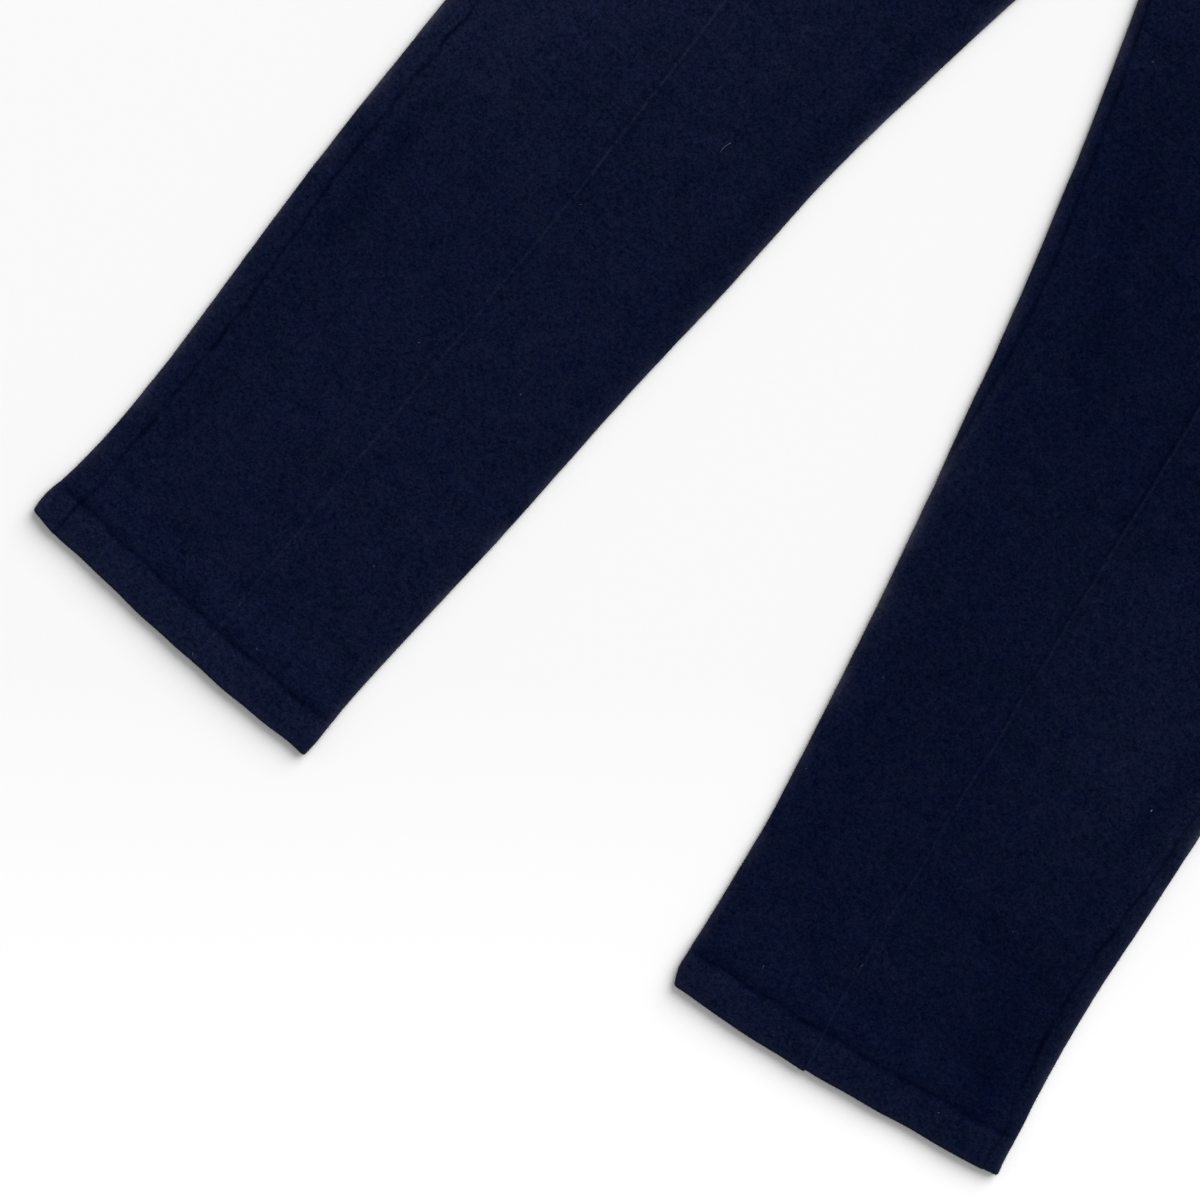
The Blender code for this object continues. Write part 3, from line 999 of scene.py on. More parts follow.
@dataclass(frozen=True)
class Cashmere:
    """Milled navy cashmere: a matt dyed face under a pale nap, with a fine grain and soft blotches.

    The mesh's tone, which is painted light and shade, and the fine grain lighten the cloth by adding the
    grain and light colour, and where they fall below 1 the dye is deeper. Haze is the painted sheen of the
    loose hair ends along the folds.
    """

    colour: Triple = (0.00225, 0.0045, 0.0179)
    # What painted light and the grain add to the dye for each step of tone above 1, and take away below it.
    grain_and_light_colour: Triple = (0.0046, 0.0058, 0.0124)
    # The colour of the painted sheen along the folds.
    haze_colour: Triple = (0.0205, 0.0190, 0.0215)
    roughness: float = 0.95
    specular: float = 0.03
    sheen: float = 0.03
    sheen_tint: Triple = (0.55, 0.50, 0.90)
    sheen_roughness: float = 0.45
    grain: tuple[Cloud, ...] = (Cloud(13.0, 0.39, 0.3), Cloud(2.7, 1.38, 0.6), Cloud(1.2, 2.05, 0.9))
    contrast: float = 1.3
    hues: tuple[Cloud, ...] = (
        Cloud(2.2, (0.0015, 0.0007, 0.0017), 0.4, 1.0),
        Cloud(9.0, (0.0010, 0.0003, 0.0055), 0.4, 1.0),
    )
    haze_hue: Cloud = Cloud(5.0, (0.0200, 0.0090, 0.0160), 0.4, 1.0)
    haze_breaks: Cloud = Cloud(1.7, 2.6, 1.0)
    clumps: Cloud = Cloud(1.2, 0.7, 1.2)
    fibres: Cloud = Cloud(0.45, 0.3, 1.5)
    fibre_stretch: Triple = (1.0, 0.3, 1.0)
    bump_height: float = 0.20
    hair_light: float = 0.25

    def hazed(self, nodes: NodeTree, colour: object, place: object) -> Socket:
        """A colour with the broken painted sheen of loose hair ends, a pale haze along the folds.

        Args:
            nodes: The tree to build in.
            colour: The colour.
            place: The coordinates that patterns read.

        Returns:
            The hazed colour.
        """
        broken = nodes.math("ADD", self.haze_breaks.amount(nodes, place), 1.0)
        strength = nodes.math("MULTIPLY", nodes.held("haze"), broken)
        hue = nodes.vector("ADD", self.haze_hue.hue(nodes, place), self.haze_colour)
        return nodes.vector("ADD", colour, nodes.vector("SCALE", hue, strength))

    def tone(self, nodes: NodeTree, place: object) -> Socket:
        """How light the cloth is, from the painted light and shade that the mesh holds, its grain and its
        blotches.

        Args:
            nodes: The tree to build in.
            place: The coordinates that patterns read.

        Returns:
            The lightness, about 1.
        """
        uneven = 1.0
        for cloud in self.grain:
            uneven = nodes.math("ADD", cloud.amount(nodes, place), uneven)
        return nodes.math("MULTIPLY", nodes.held("tone"), nodes.math("POWER", uneven, self.contrast))

    def bump(self, nodes: NodeTree, place: object) -> Socket:
        """The felted surface: matted fibre clumps with finer hairs lying across them.

        Args:
            nodes: The tree to build in.
            place: The coordinates that patterns read.

        Returns:
            The bumped normal.
        """
        clump = self.clumps.amount(nodes, place)
        stretched = nodes.add("ShaderNodeMapping", {"Vector": place, "Scale": self.fibre_stretch}).outputs[0]
        height = nodes.math("ADD", clump, self.fibres.amount(nodes, stretched))
        inputs = {"Height": height, "Distance": self.bump_height * MM, "Strength": 1.0}
        return nodes.add("ShaderNodeBump", inputs).outputs[0]

    def tinted(self, nodes: NodeTree, tone: object) -> Socket:
        """The cloth's colour for its lightness, never less than black."""
        nap = nodes.vector("SCALE", self.grain_and_light_colour, nodes.math("SUBTRACT", tone, 1.0))
        return nodes.vector("MAXIMUM", nodes.vector("ADD", self.colour, nap), (0.0, 0.0, 0.0))

    def shader(self, nodes: NodeTree, colour: Socket) -> bpy.types.Node:
        """Adds the cloth's own shader.

        Args:
            nodes: The tree to build in.
            colour: The cloth's colour.

        Returns:
            The shader's node.
        """
        return nodes.surface(
            {
                "Base Color": colour,
                "Roughness": self.roughness,
                "Specular IOR Level": self.specular,
                "Sheen Weight": self.sheen,
                "Sheen Roughness": self.sheen_roughness,
                "Sheen Tint": (*self.sheen_tint, 1.0),
            }
        )

    def cloth(self, name: str) -> bpy.types.Material:
        """The material of the cloth itself.

        Args:
            name: The material's name.

        Returns:
            The material.
        """
        material, nodes = new_material(name)
        place = nodes.place()
        colour = self.tinted(nodes, self.tone(nodes, place))
        for cloud in self.hues:
            colour = nodes.vector("ADD", colour, cloud.hue(nodes, place))
        shader = self.shader(nodes, self.hazed(nodes, colour, place))
        nodes.tree.links.new(self.bump(nodes, place), shader.inputs["Normal"])
        return material

    def hairs(self, name: str) -> bpy.types.Material:
        """The material of the loose hairs on the cloth, which catch a little more light.

        Args:
            name: The material's name.

        Returns:
            The material.
        """
        material, nodes = new_material(name)
        place = nodes.place()
        tone = nodes.math("ADD", self.tone(nodes, place), self.hair_light)
        self.shader(nodes, self.hazed(nodes, self.tinted(nodes, tone), place))
        return material


@dataclass(frozen=True)
class LooseHairs:
    """Short hairs that stand off the cloth, thickest along its folds.

    The two ranges are what a hair's lean and length are multiplied by, at random.
    """

    width: float = 0.09
    bend: float = 0.35
    taper: float = 0.7
    leans: Pair = (0.35, 1.15)
    lengths: Pair = (0.5, 1.3)
    clear_height: float = 0.02
    seed: int = 7

    def hair(self, nodes: NodeTree) -> Socket:
        """One hair: a narrow bent strip of unit length, standing on its wide end.

        Args:
            nodes: The tree to build in.

        Returns:
            The hair's mesh.
        """
        size = {"Size X": 1.0, "Size Y": 1.0, "Vertices X": 2, "Vertices Y": 3}
        strip = nodes.add("GeometryNodeMeshGrid", size).outputs[0]
        x, y, _ = nodes.parts(nodes.add("GeometryNodeInputPosition").outputs[0])
        along = nodes.math("ADD", y, 0.5)
        narrow = nodes.math("SUBTRACT", 1.0, nodes.math("MULTIPLY", along, self.taper))
        lean = nodes.math("MULTIPLY", nodes.math("POWER", along, 2.0), self.bend)
        return self.moved(nodes, strip, nodes.joined(nodes.math("MULTIPLY", x, narrow), lean, along))

    def moved(self, nodes: NodeTree, mesh: object, place: object) -> Socket:
        """A mesh with its points moved to other places."""
        return nodes.add("GeometryNodeSetPosition", {"Geometry": mesh, "Position": place}).outputs[0]

    def held(self, nodes: NodeTree, name: str) -> Socket:
        """A number that the cloth's mesh holds at each point."""
        held = nodes.add("GeometryNodeInputNamedAttribute", {"Name": name}, data_type="FLOAT")
        return held.outputs["Attribute"]

    def random(self, nodes: NodeTree, low: float, high: float, seed: int) -> Socket:
        """A number between two others that differs from hair to hair."""
        inputs = {2: low, 3: high, "Seed": seed}
        return nodes.add("FunctionNodeRandomValue", inputs, data_type="FLOAT").outputs[1]

    def turned(self, nodes: NodeTree, upright: object) -> Socket:
        """The hairs' rotations, each leaning its own way.

        Args:
            nodes: The tree to build in.
            upright: The rotations of hairs that stand straight off the cloth.

        Returns:
            The rotations.
        """
        lean = nodes.math("MULTIPLY", self.held(nodes, "hair_lean"), self.random(nodes, *self.leans, 1))
        turn = nodes.joined(lean, 0.0, self.random(nodes, 0.0, math.tau, 2))
        turn = nodes.add("FunctionNodeEulerToRotation", {0: turn}).outputs[0]
        both = {0: upright, 1: turn}
        return nodes.add("FunctionNodeRotateRotation", both, rotation_space="LOCAL").outputs[0]

    def group(self, material: bpy.types.Material) -> bpy.types.NodeTree:
        """The node group that adds the hairs to a mesh.

        Args:
            material: What the hairs wear.

        Returns:
            The group.
        """
        tree = bpy.data.node_groups.new("loose_hairs", "GeometryNodeTree")
        for way in ("INPUT", "OUTPUT"):
            tree.interface.new_socket("Geometry", in_out=way, socket_type="NodeSocketGeometry")
        nodes = NodeTree(tree)
        cloth = nodes.add("NodeGroupInput").outputs[0]
        outside = nodes.math("SUBTRACT", 1.0, self.held(nodes, "inside"))
        density = nodes.math("MULTIPLY", self.held(nodes, "hairs"), outside)
        scatter = {"Mesh": cloth, "Density": density, "Seed": self.seed}
        kind = "GeometryNodeDistributePointsOnFaces"
        roots = nodes.add(kind, scatter, distribute_method="RANDOM").outputs
        turned = self.turned(nodes, roots["Rotation"])
        long = nodes.math("MULTIPLY", self.held(nodes, "hair_length"), self.random(nodes, *self.lengths, 3))
        size = nodes.joined(self.width * MM, long, long)
        stand = {"Points": roots["Points"], "Instance": self.hair(nodes), "Rotation": turned, "Scale": size}
        hairs = nodes.add("GeometryNodeInstanceOnPoints", stand).outputs[0]
        hairs = nodes.add("GeometryNodeRealizeInstances", {0: hairs}).outputs[0]
        x, y, z = nodes.parts(nodes.add("GeometryNodeInputPosition").outputs[0])
        clear = nodes.joined(x, y, nodes.math("MAXIMUM", z, self.clear_height * MM))
        dressed = {"Geometry": self.moved(nodes, hairs, clear), "Material": material}
        worn = nodes.add("GeometryNodeSetMaterial", dressed).outputs[0]
        joined = nodes.add("GeometryNodeJoinGeometry")
        tree.links.new(worn, joined.inputs[0])
        tree.links.new(cloth, joined.inputs[0])
        nodes.add("NodeGroupOutput", {0: joined.outputs[0]})
        return tree


@dataclass
class Sheet:
    """A sheet of cloth on a fine grid: rows along the piece, columns across it.

    The profile has, for each row, its height above the piece's end and its depth below the outer surface.
    """

    name: str
    profile: list[Pair]

    def section(self, up: float) -> Section:
        """The cross-section that the sheet follows at a height."""
        raise NotImplementedError

    def places(self, up: float, section: Section) -> Array:
        """The columns' places on a section."""
        raise NotImplementedError

    def seam_places(self, up: float, section: Section) -> Triple:
        """The places of the sheet's two edges and of its tuck on a section."""
        raise NotImplementedError

    def closer(self) -> dict[int, Array]:
        """Which rows have closer columns, by how many there are between two of the others."""
        return {}

    def relief(self, laid: Laid) -> Array:
        """How far the surface stands off its plain form, in millimetres."""
        raise NotImplementedError

    def shift(self, laid: Laid) -> Array:
        """How much nearer the waist the cloth lies than its plain form, by its hem or at its seam."""
        raise NotImplementedError

    def tone(self, laid: Laid) -> Array:
        """How light the cloth is painted, with painted light and shade, about 1."""
        raise NotImplementedError

    def grid(self) -> bmesh.types.BMesh:
        """The sheet as a flat grid.

        Returns:
            The grid, with a column number for X and a row number for Y.
        """
        columns = len(self.places(HEM_DEPTH, self.section(HEM_DEPTH)))
        rows = len(self.profile)
        mesh = bmesh.new()
        bmesh.ops.create_grid(mesh, x_segments=columns - 1, y_segments=rows - 1, size=0.5)
        bmesh.ops.translate(mesh, vec=(0.5, 0.5, 0), verts=mesh.verts)
        bmesh.ops.scale(mesh, vec=(columns - 1, rows - 1, 1), verts=mesh.verts)
        for cuts, fine in self.closer().items():
            across = []
            for edge in mesh.edges:
                start, end = (vert.co.y for vert in edge.verts)
                if abs(start - end) < 0.5 and fine[round(start)]:
                    across.append(edge)
            bmesh.ops.subdivide_edges(mesh, edges=across, cuts=cuts, use_grid_fill=True)
        return mesh

    def lay(self, flat: Array) -> Laid:
        """Lays the grid's points on the garment.

        Args:
            flat: The points' column and row numbers.

        Returns:
            Where each lies, before any relief.
        """
        laid = Laid.blank(len(flat))
        steps = [math.dist(*pair) for pair in zip(self.profile, self.profile[1:])]
        along = np.concatenate(([0.0], np.cumsum(steps)))
        rows = np.round(flat[:, 1]).astype(int)
        for row, (up, depth) in enumerate(self.profile):
            here = np.flatnonzero(rows == row)
            section = self.section(up)
            places = self.places(up, section)
            place = np.interp(flat[here, 0], np.arange(len(places)), places)
            start, end, tuck = self.seam_places(up, section)
            laid.point[here], laid.normal[here] = section.points(place, depth)
            laid.chart[here, 0] = place - min(places[0], places[-1])
            laid.chart[here, 1] = along[row]
            laid.up[here] = up
            laid.from_inseam[here] = np.abs(place - start)
            laid.from_outseam[here] = np.abs(end - place)
            laid.from_tuck[here] = place - tuck
            laid.from_fold[here] = section.from_fold(place)
            laid.share[here] = section.contour(place)[0] / section.width
            laid.width[here] = section.width
            laid.outer_face[here] = depth == 0
        return laid

    def build(
        self, origin: Vector, materials: Sequence[bpy.types.Material], hairs: bpy.types.NodeTree
    ) -> bpy.types.Object:
        """Makes the piece.

        Args:
            origin: The garment's origin, at the crotch.
            materials: The cloth's material and the hairs'.
            hairs: The node group that adds the loose hairs.

        Returns:
            The finished object.
        """
        data = finished_mesh(self.name, self.grid())
        flat = np.empty(len(data.vertices) * 3)
        data.vertices.foreach_get("co", flat)
        laid = self.lay(flat.reshape(-1, 3))
        rise = self.relief(laid)
        rise = np.where(laid.facing < RESTING, np.minimum(rise, 0.0), rise)
        laid.point += laid.normal * rise[:, None]
        laid.point[:, 1] += self.shift(laid)
        laid.point[:, 2] = np.maximum(laid.point[:, 2], 0.0)
        data.vertices.foreach_set("co", (laid.point * MM + np.array(origin)).ravel())
        self.chart(data, laid.chart)
        for name, values in ({"tone": self.tone(laid)} | self.hairs_and_sheen(laid)).items():
            held = data.attributes.new(name, "FLOAT", "POINT")
            held.data.foreach_set("value", values.astype(np.float32))
        data.update()
        if self.faces_inwards(data, laid.normal):
            data.flip_normals()
        data.shade_smooth()
        for material in materials:
            data.materials.append(material)
        piece = put_in_scene(self.name, data)
        piece.vertex_groups.new(name="inside")
        wall = piece.modifiers.new("wall", "SOLIDIFY")
        wall.thickness = CLOTH * MM
        wall.offset = -1.0
        wall.shell_vertex_group = "inside"
        piece.modifiers.new("loose_hairs", "NODES").node_group = hairs
        log.info("%s: %d faces in the sheet", self.name, len(data.polygons))
        return piece

    def faces_inwards(self, data: bpy.types.Mesh, normals: Array) -> bool:
        """Whether the faces look into the garment instead of out of it.

        Args:
            data: The mesh.
            normals: The outward normal at each of its points.

        Returns:
            True if they have to be turned over.
        """
        found = np.empty(len(data.vertices) * 3, np.float32)
        data.vertex_normals.foreach_get("vector", found)
        return float((found.reshape(-1, 3) * normals).sum()) < 0

    def chart(self, data: bpy.types.Mesh, chart: Array) -> None:
        """Gives the mesh a map of the cloth as it was cut, its lower half beside its upper half.

        Args:
            data: The mesh.
            chart: How far each point is across the cloth and along it.
        """
        corners = np.empty(len(data.loops), np.int32)
        data.loops.foreach_get("vertex_index", corners)
        starts, sizes = (np.empty(len(data.polygons), np.int32) for _ in range(2))
        data.polygons.foreach_get("loop_start", starts)
        data.polygons.foreach_get("loop_total", sizes)
        across, along = chart[corners].T
        half = chart[:, 1].max() / 2
        upper = np.repeat(np.minimum.reduceat(along, starts) > half, sizes)
        width = chart[:, 0].max()
        room = 1 - 2 * CHART_MARGIN
        u = (across / width * room + CHART_MARGIN) / 2 + 0.5 * upper
        v = (along - half * upper) / (half * CHART_SLACK) * room + CHART_MARGIN
        layer = data.uv_layers.new(name="OFBake")
        layer.uv.foreach_set("vector", np.stack((u, v), 1).astype(np.float32).ravel())

    def fold_sheen(self, laid: Laid) -> Array:
        """How strong the painted sheen of the nearer fold is, about 1, in long uneven patches."""
        return np.clip(1 + SHEEN_PATCHES(laid.x, laid.y), *FOLD_SHEEN_RANGE)

    def fold_light(self, laid: Laid) -> Array:
        """How much painted sheen lightens the cloth towards the folds, where the nap stands on end."""
        return FOLD_LIGHT * self.fold_sheen(laid) * np.exp(-laid.from_fold / FOLD_LIGHT_REACH)

    def fold_haze(self, laid: Laid) -> Array:
        """How thick the painted sheen, a haze, is along the folds."""
        return self.fold_sheen(laid) * np.exp(-laid.from_fold / FOLD_HAZE_REACH)

    def tip_haze(self, laid: Laid) -> Array:
        """How thick the painted sheen, a haze, is on the fold where the sheet's end is turned in."""
        return 0.0 * laid.up

    def hairs_and_sheen(self, laid: Laid) -> dict[str, Array]:
        """How thick the painted sheen of hair ends is, and how many loose hairs there are for each square
        metre.

        Args:
            laid: Where the points lie.

        Returns:
            The mesh attributes that the cloth and the hairs' node group read.
        """
        turned_in = laid.outer_face == 0
        under = laid.facing < UNDERNEATH
        fold = (np.abs(laid.facing) < STEEP) & ~turned_in
        tip = turned_in & (laid.up < TIP_RADIUS) & (laid.point[:, 2] > GAP)
        edge = (fold | tip) & ~under
        count = np.where(under, UNDER_HAIRS, np.where(edge, EDGE_HAIRS.count, FACE_HAIRS.count))
        return {
            "haze": self.fold_haze(laid) + self.tip_haze(laid),
            "hairs": count * ~(turned_in & ~tip),
            "hair_length": np.where(edge, EDGE_HAIRS.length, FACE_HAIRS.length) * MM,
            "hair_lean": np.where(edge, EDGE_HAIRS.lean, FACE_HAIRS.lean),
        }


def gather_ribs(laid: Laid) -> Array:
    """The fine ribs of the gathered waist.

    Args:
        laid: Where the points lie.

    Returns:
        Values from 0 in the valleys to 1 on the ridges.
    """
    drift = laid.x + RIB_WANDER(laid.x, laid.y)
    wave = np.zeros(len(drift))
    for rib in RIBS:
        wave += rib.size * np.sin(drift * math.tau / rib.spacing + rib.phase)
    return np.clip(0.5 + 0.32 * wave, 0, 1)


@dataclass(frozen=True)
class Trough:
    """A soft line beside another: how far off it runs, how far it reaches and how strong it is."""

    off: float
    reach: float
    strength: float

    def at(self, distance: Array) -> Array:
        """Its strength at these distances from the other line."""
        return self.strength * bell(distance - self.off, self.reach)


def waist_groove(distance: Array) -> Array:
    """How far the cloth is drawn in at this distance from the waist seam."""
    return WAIST_GROOVE_DEPTH * np.clip(1 - distance / WAIST_GROOVE_REACH, 0, 1) ** 2


@dataclass
class LegPanel(Sheet):
    """The front or the back of one side, from the raw end of its turned-up hem to the waist seam.

    A depth or a rise is how far the surface goes in or stands out, a reach how far that spreads, and a
    dark or a light by what share painted shade darkens the colour there or painted light lightens it; a
    haze is painted sheen. A span is where something begins and where it is complete, and a fade where it
    ends so: up from the hem, or from the seam or fold.
    """

    leg: Leg = field(default_factory=lambda: Leg(Side.RIGHT))
    panel: Panel = Panel.FRONT

    # The hem's stitches, the groove along them and the puckers across them, and their painted light and
    # shade.
    first_stitch: float = 112.0
    stitches_across: int = 40
    stitch_spacing: Pair = (6.0, 10.5)
    stitch_seed: int = 11
    stitch_rows: float = 3.2
    stitch_span: Pair = (1.0, 8.0)
    stitch_reach: Pair = (1.8, 1.0)
    stitch_depth: float = 0.30
    stitch_dark: float = 0.14
    groove_reach: float = 1.6
    groove_depth: float = 0.55
    groove_dark: float = 0.30
    pucker_reach: float = 9.0
    pucker_rise: float = 0.13
    pucker_light: float = 0.05

    # The hem's band and its painted sheen, the painted shade above its edge, the painted light on its fold,
    # and its step under the tuck.
    hem_rise: float = 0.30
    hem_rise_span: Pair = (0.0, 9.0)
    hem_light_span: Pair = (1.0, 3.5)
    hem_light_share: Pair = (0.08, 0.35)
    hem_edge_reach: float = 7.0
    hem_edge_dark: float = 0.12
    hem_haze: float = 0.42
    hem_haze_reach: float = 1.5
    step_reach: float = 25.0
    step_span: Pair = (-80.0, -20.0)
    step_edge: Pair = (-0.6, 0.8)
    step_fade: Pair = (2.0, 19.0)

    # The pin tuck, with the painted highlight on its ridge and painted shade beside it.
    tuck_reach: float = 0.85
    tuck_rise: float = 0.75
    tuck_light_span: Pair = (10.0, 90.0)
    lean_span: Pair = (150.0, 230.0)
    lean_fade: Pair = (520.0, 700.0)
    inner_trough: Trough = Trough(-1.9, 0.9, 1.0)
    outer_trough: Trough = Trough(2.4, 1.3, 0.22)
    trough_depth: float = 0.50
    trough_dark: float = 0.42

    # The inseam and the outseam, with painted shade in their grooves.
    seam_seeds: tuple[int, int] = (31, 32)
    seam_depth: float = 0.85
    seam_depth_reach: float = 3.0
    seam_dark: Pair = (0.44, 0.56)
    seam_dark_reach: float = 1.2
    outseam_shade_span: Pair = (15.0, 75.0)

    # The inner fold where it is rolled, with the inseam on the front: painted shade along the seam, less
    # painted sheen at the fold and painted sheen on the ridge inside the seam.
    rolled_span: Pair = (0.0, 4.0)
    rolled_fade: Pair = (440.0, 560.0)
    rolled_dark: float = 0.20
    rolled_dark_reach: float = 2.4
    laid_over_fade: Pair = (380.0, 415.0)
    laid_over_light: float = -0.6
    laid_over_haze: float = -0.55
    ridge_haze: Trough = Trough(3.0, 2.6, 0.09)

    # The creases, the waves and the waist's gathers, their painted light and shade, and the painted sheen
    # where the cloth is steep.
    crease_span: Pair = (18.0, 45.0)
    crease_light_span: Pair = (12.0, 30.0)
    wave_span: Pair = (1.0, 9.0)
    waist_span: Pair = (WAIST_SEAM - 14, WAIST_SEAM - 1)
    rib_rise: float = 0.9
    rib_fade: Pair = (4.0, RIB_REACH)
    gather_rise: float = 1.7
    gather_reach: Pair = (4.5, 7.0)
    gather_fade: Pair = (0.1, 1.0)
    gather_span: Pair = (0.0, 8.0)
    gather_light: float = 0.12
    hip_span: Pair = (540.0, 690.0)
    steep_light: float = 0.18

    @property
    def lie(self) -> Lie:
        """How this side lies."""
        return LIES[self.leg.side]

    def section(self, up: float) -> Section:
        """The leg's cross-section at a height."""
        return self.leg.section(up)

    def places(self, up: float, section: Section) -> Array:
        """The columns' places on a section.

        Args:
            up: The section's height.
            section: The section.

        Returns:
            The places, in order round the leg.
        """
        inseam, tuck, outseam = self.leg.seams(up, section)
        if self.panel is Panel.FRONT:
            inner = INSEAM_TO_TUCK.columns(inseam, tuck)
            return np.concatenate((inner, TUCK_TO_OUTSEAM.columns(tuck, outseam)[1:]))
        return OUTSEAM_TO_INSEAM.columns(outseam, 2 * section.length + inseam)

    def seam_places(self, up: float, section: Section) -> Triple:
        """Where the panel reaches its seams.

        Args:
            up: The section's height.
            section: The section.

        Returns:
            The places of the inseam, the outseam and the tuck.
        """
        inseam, tuck, outseam = self.leg.seams(up, section)
        once_round = 0 if self.panel is Panel.FRONT else 2 * section.length
        return once_round + inseam, outseam, tuck

    def closer(self) -> dict[int, Array]:
        """The rows by the hem's stitches and by the waist's gathers.

        Returns:
            For each number of columns to add between two, whether each row has them.
        """
        up, depth = np.array(self.profile).T
        stitched = (depth == 0) & (np.abs(up - HEM_DEPTH) < self.stitch_rows)
        return {3: stitched, 1: up > WAIST_SEAM - RIB_REACH}

    def stitches(self) -> Array:
        """Where the hem's stitches lie across the garment, unevenly spaced.

        Returns:
            Their distances from the middle line.
        """
        chance = np.random.default_rng(self.stitch_seed + self.leg.side.value)
        steps = np.cumsum(chance.uniform(*self.stitch_spacing, self.stitches_across))
        return self.leg.side.value * (steps + self.first_stitch)

    def hem_groove(self, laid: Laid) -> tuple[Array, Array]:
        """How near each point is to the hem's row of stitches, and to one stitch in it.

        Args:
            laid: Where the points lie.

        Returns:
            Two shares, from 0 to about 1.
        """
        off = laid.up - HEM_DEPTH - HEM_STITCH_WANDER.along(laid.x)
        to_stitch = np.abs(laid.x[:, None] - self.stitches()[None, :]).min(1)
        uneven = np.clip(0.78 + HEM_STITCH_PULL.along(laid.x), 0.3, 1.1)
        shown = laid.outer_face * growing(0.3, *self.stitch_span, laid.from_fold)
        long, wide = self.stitch_reach
        stitch = bell(off, wide) * bell(to_stitch, long) * shown
        return bell(off, self.groove_reach) * uneven * shown, stitch

    def puckers(self, laid: Laid) -> Array:
        """The small puckers across the hem's stitching, about -1 to 1."""
        pull = HEM_PUCKERS(laid.x + 0.25 * laid.up, 0.12 * laid.up)
        return pull * bell(laid.up - HEM_DEPTH, self.pucker_reach) * laid.outer_face

    def shift(self, laid: Laid) -> Array:
        """The hem lies lower on one side of the tuck and by the outseam, and the waist seam wanders.

        Args:
            laid: Where the points lie.

        Returns:
            How much nearer the waist each lies than in the plain form.
        """
        inwards = 1 - ease(*self.step_edge, laid.from_tuck)
        drop = self.lie.tuck_step * inwards * ease(*self.step_span, laid.from_tuck)
        front = self.lie.outseam_step * (self.panel is Panel.FRONT)
        drop = drop + front * bell(laid.from_outseam, self.step_reach) + HEM_EDGE_WANDER.along(laid.x)
        wander = WAIST_SEAM_WANDER.along(laid.x) * ease(*self.waist_span, laid.up)
        return wander - drop * (1 - ease(*self.step_fade, laid.up))

    def seam_grooves(self, laid: Laid) -> list[tuple[Array, Array]]:
        """How deep the inseam and the outseam are drawn in, and by what share painted shade darkens their
        grooves.

        Args:
            laid: Where the points lie.

        Returns:
            A pair of the two for each seam.
        """
        shown = (1.0, 1 - (1 - self.lie.hem_outseam) * (1 - ease(*self.outseam_shade_span, laid.up)))
        distances = (laid.from_inseam, laid.from_outseam)
        grooves = []
        for distance, seed, dark, seen in zip(distances, self.seam_seeds, self.seam_dark, shown):
            long = Ripple(seed, 34).along(laid.up)
            short = Ripple(seed + 10, 9).along(laid.up)
            drawn = np.clip(0.70 + 0.20 * long + 0.10 * short, 0.2, 1.15)
            lip = np.clip(1 - distance / self.seam_depth_reach, 0, 1) ** 1.8
            shade = np.clip(0.80 + 0.25 * long + 0.15 * short, 0.5, 1.3)
            shade = shade * bell(distance, self.seam_dark_reach)
            grooves.append((self.seam_depth * (drawn * lip), dark * seen * shade))
        return grooves

    def fold_sheen(self, laid: Laid) -> Array:
        """How strong the painted sheen of the nearer fold is: in long uneven patches, and more on one fold
        than on the other.

        Args:
            laid: Where the points lie.

        Returns:
            The strength of the painted sheen, about 1.
        """
        marks = FOLD_SHEEN[self.leg.side]
        heights = [mark.up for mark in marks]
        inner = np.interp(laid.up, heights, [mark.inner for mark in marks])
        outer = np.interp(laid.up, heights, [mark.outer for mark in marks])
        return super().fold_sheen(laid) * np.where(laid.share < 0.5, inner, outer)

    def rolled(self, laid: Laid) -> Array:
        """How far the inner fold is rolled so that the inseam shows on the front.

        Args:
            laid: Where the points lie.

        Returns:
            Shares from 0 to 1.
        """
        rows = LEG_ROWS[self.leg.side]
        inseam = np.interp(laid.up, [row.up for row in rows], [row.inseam for row in rows])
        less = 1 - 0.6 * ease(*self.rolled_fade, laid.up)
        return ease(*self.rolled_span, inseam) * less * (laid.share < 0.5)

    def laid_over(self, laid: Laid) -> Array:
        """How far the fold's painted sheen moves inside the inseam, where that first comes round onto the
        front.
        """
        return self.rolled(laid) * (1 - ease(*self.laid_over_fade, laid.up))

    def fold_light(self, laid: Laid) -> Array:
        """How much painted sheen lightens the cloth towards the folds, less where they are rolled."""
        return super().fold_light(laid) * (1 + self.laid_over_light * self.laid_over(laid))

    def fold_haze(self, laid: Laid) -> Array:
        """How thick the painted sheen, a haze, is along the folds: inside the inseam where that lies on the
        front.

        Args:
            laid: Where the points lie.

        Returns:
            The haze's thickness.
        """
        over = self.laid_over(laid)
        at_edge = super().fold_haze(laid) * (1 + self.laid_over_haze * over)
        if self.panel is Panel.BACK:
            return at_edge
        return at_edge + self.fold_sheen(laid) * over * self.ridge_haze.at(laid.from_inseam)

    def tip_haze(self, laid: Laid) -> Array:
        """How thick the painted light, a haze, is along the hem's fold."""
        shown = np.maximum(laid.outer_face, laid.up < TIP_RADIUS)
        return self.hem_haze * shown * np.exp(-laid.up / self.hem_haze_reach)

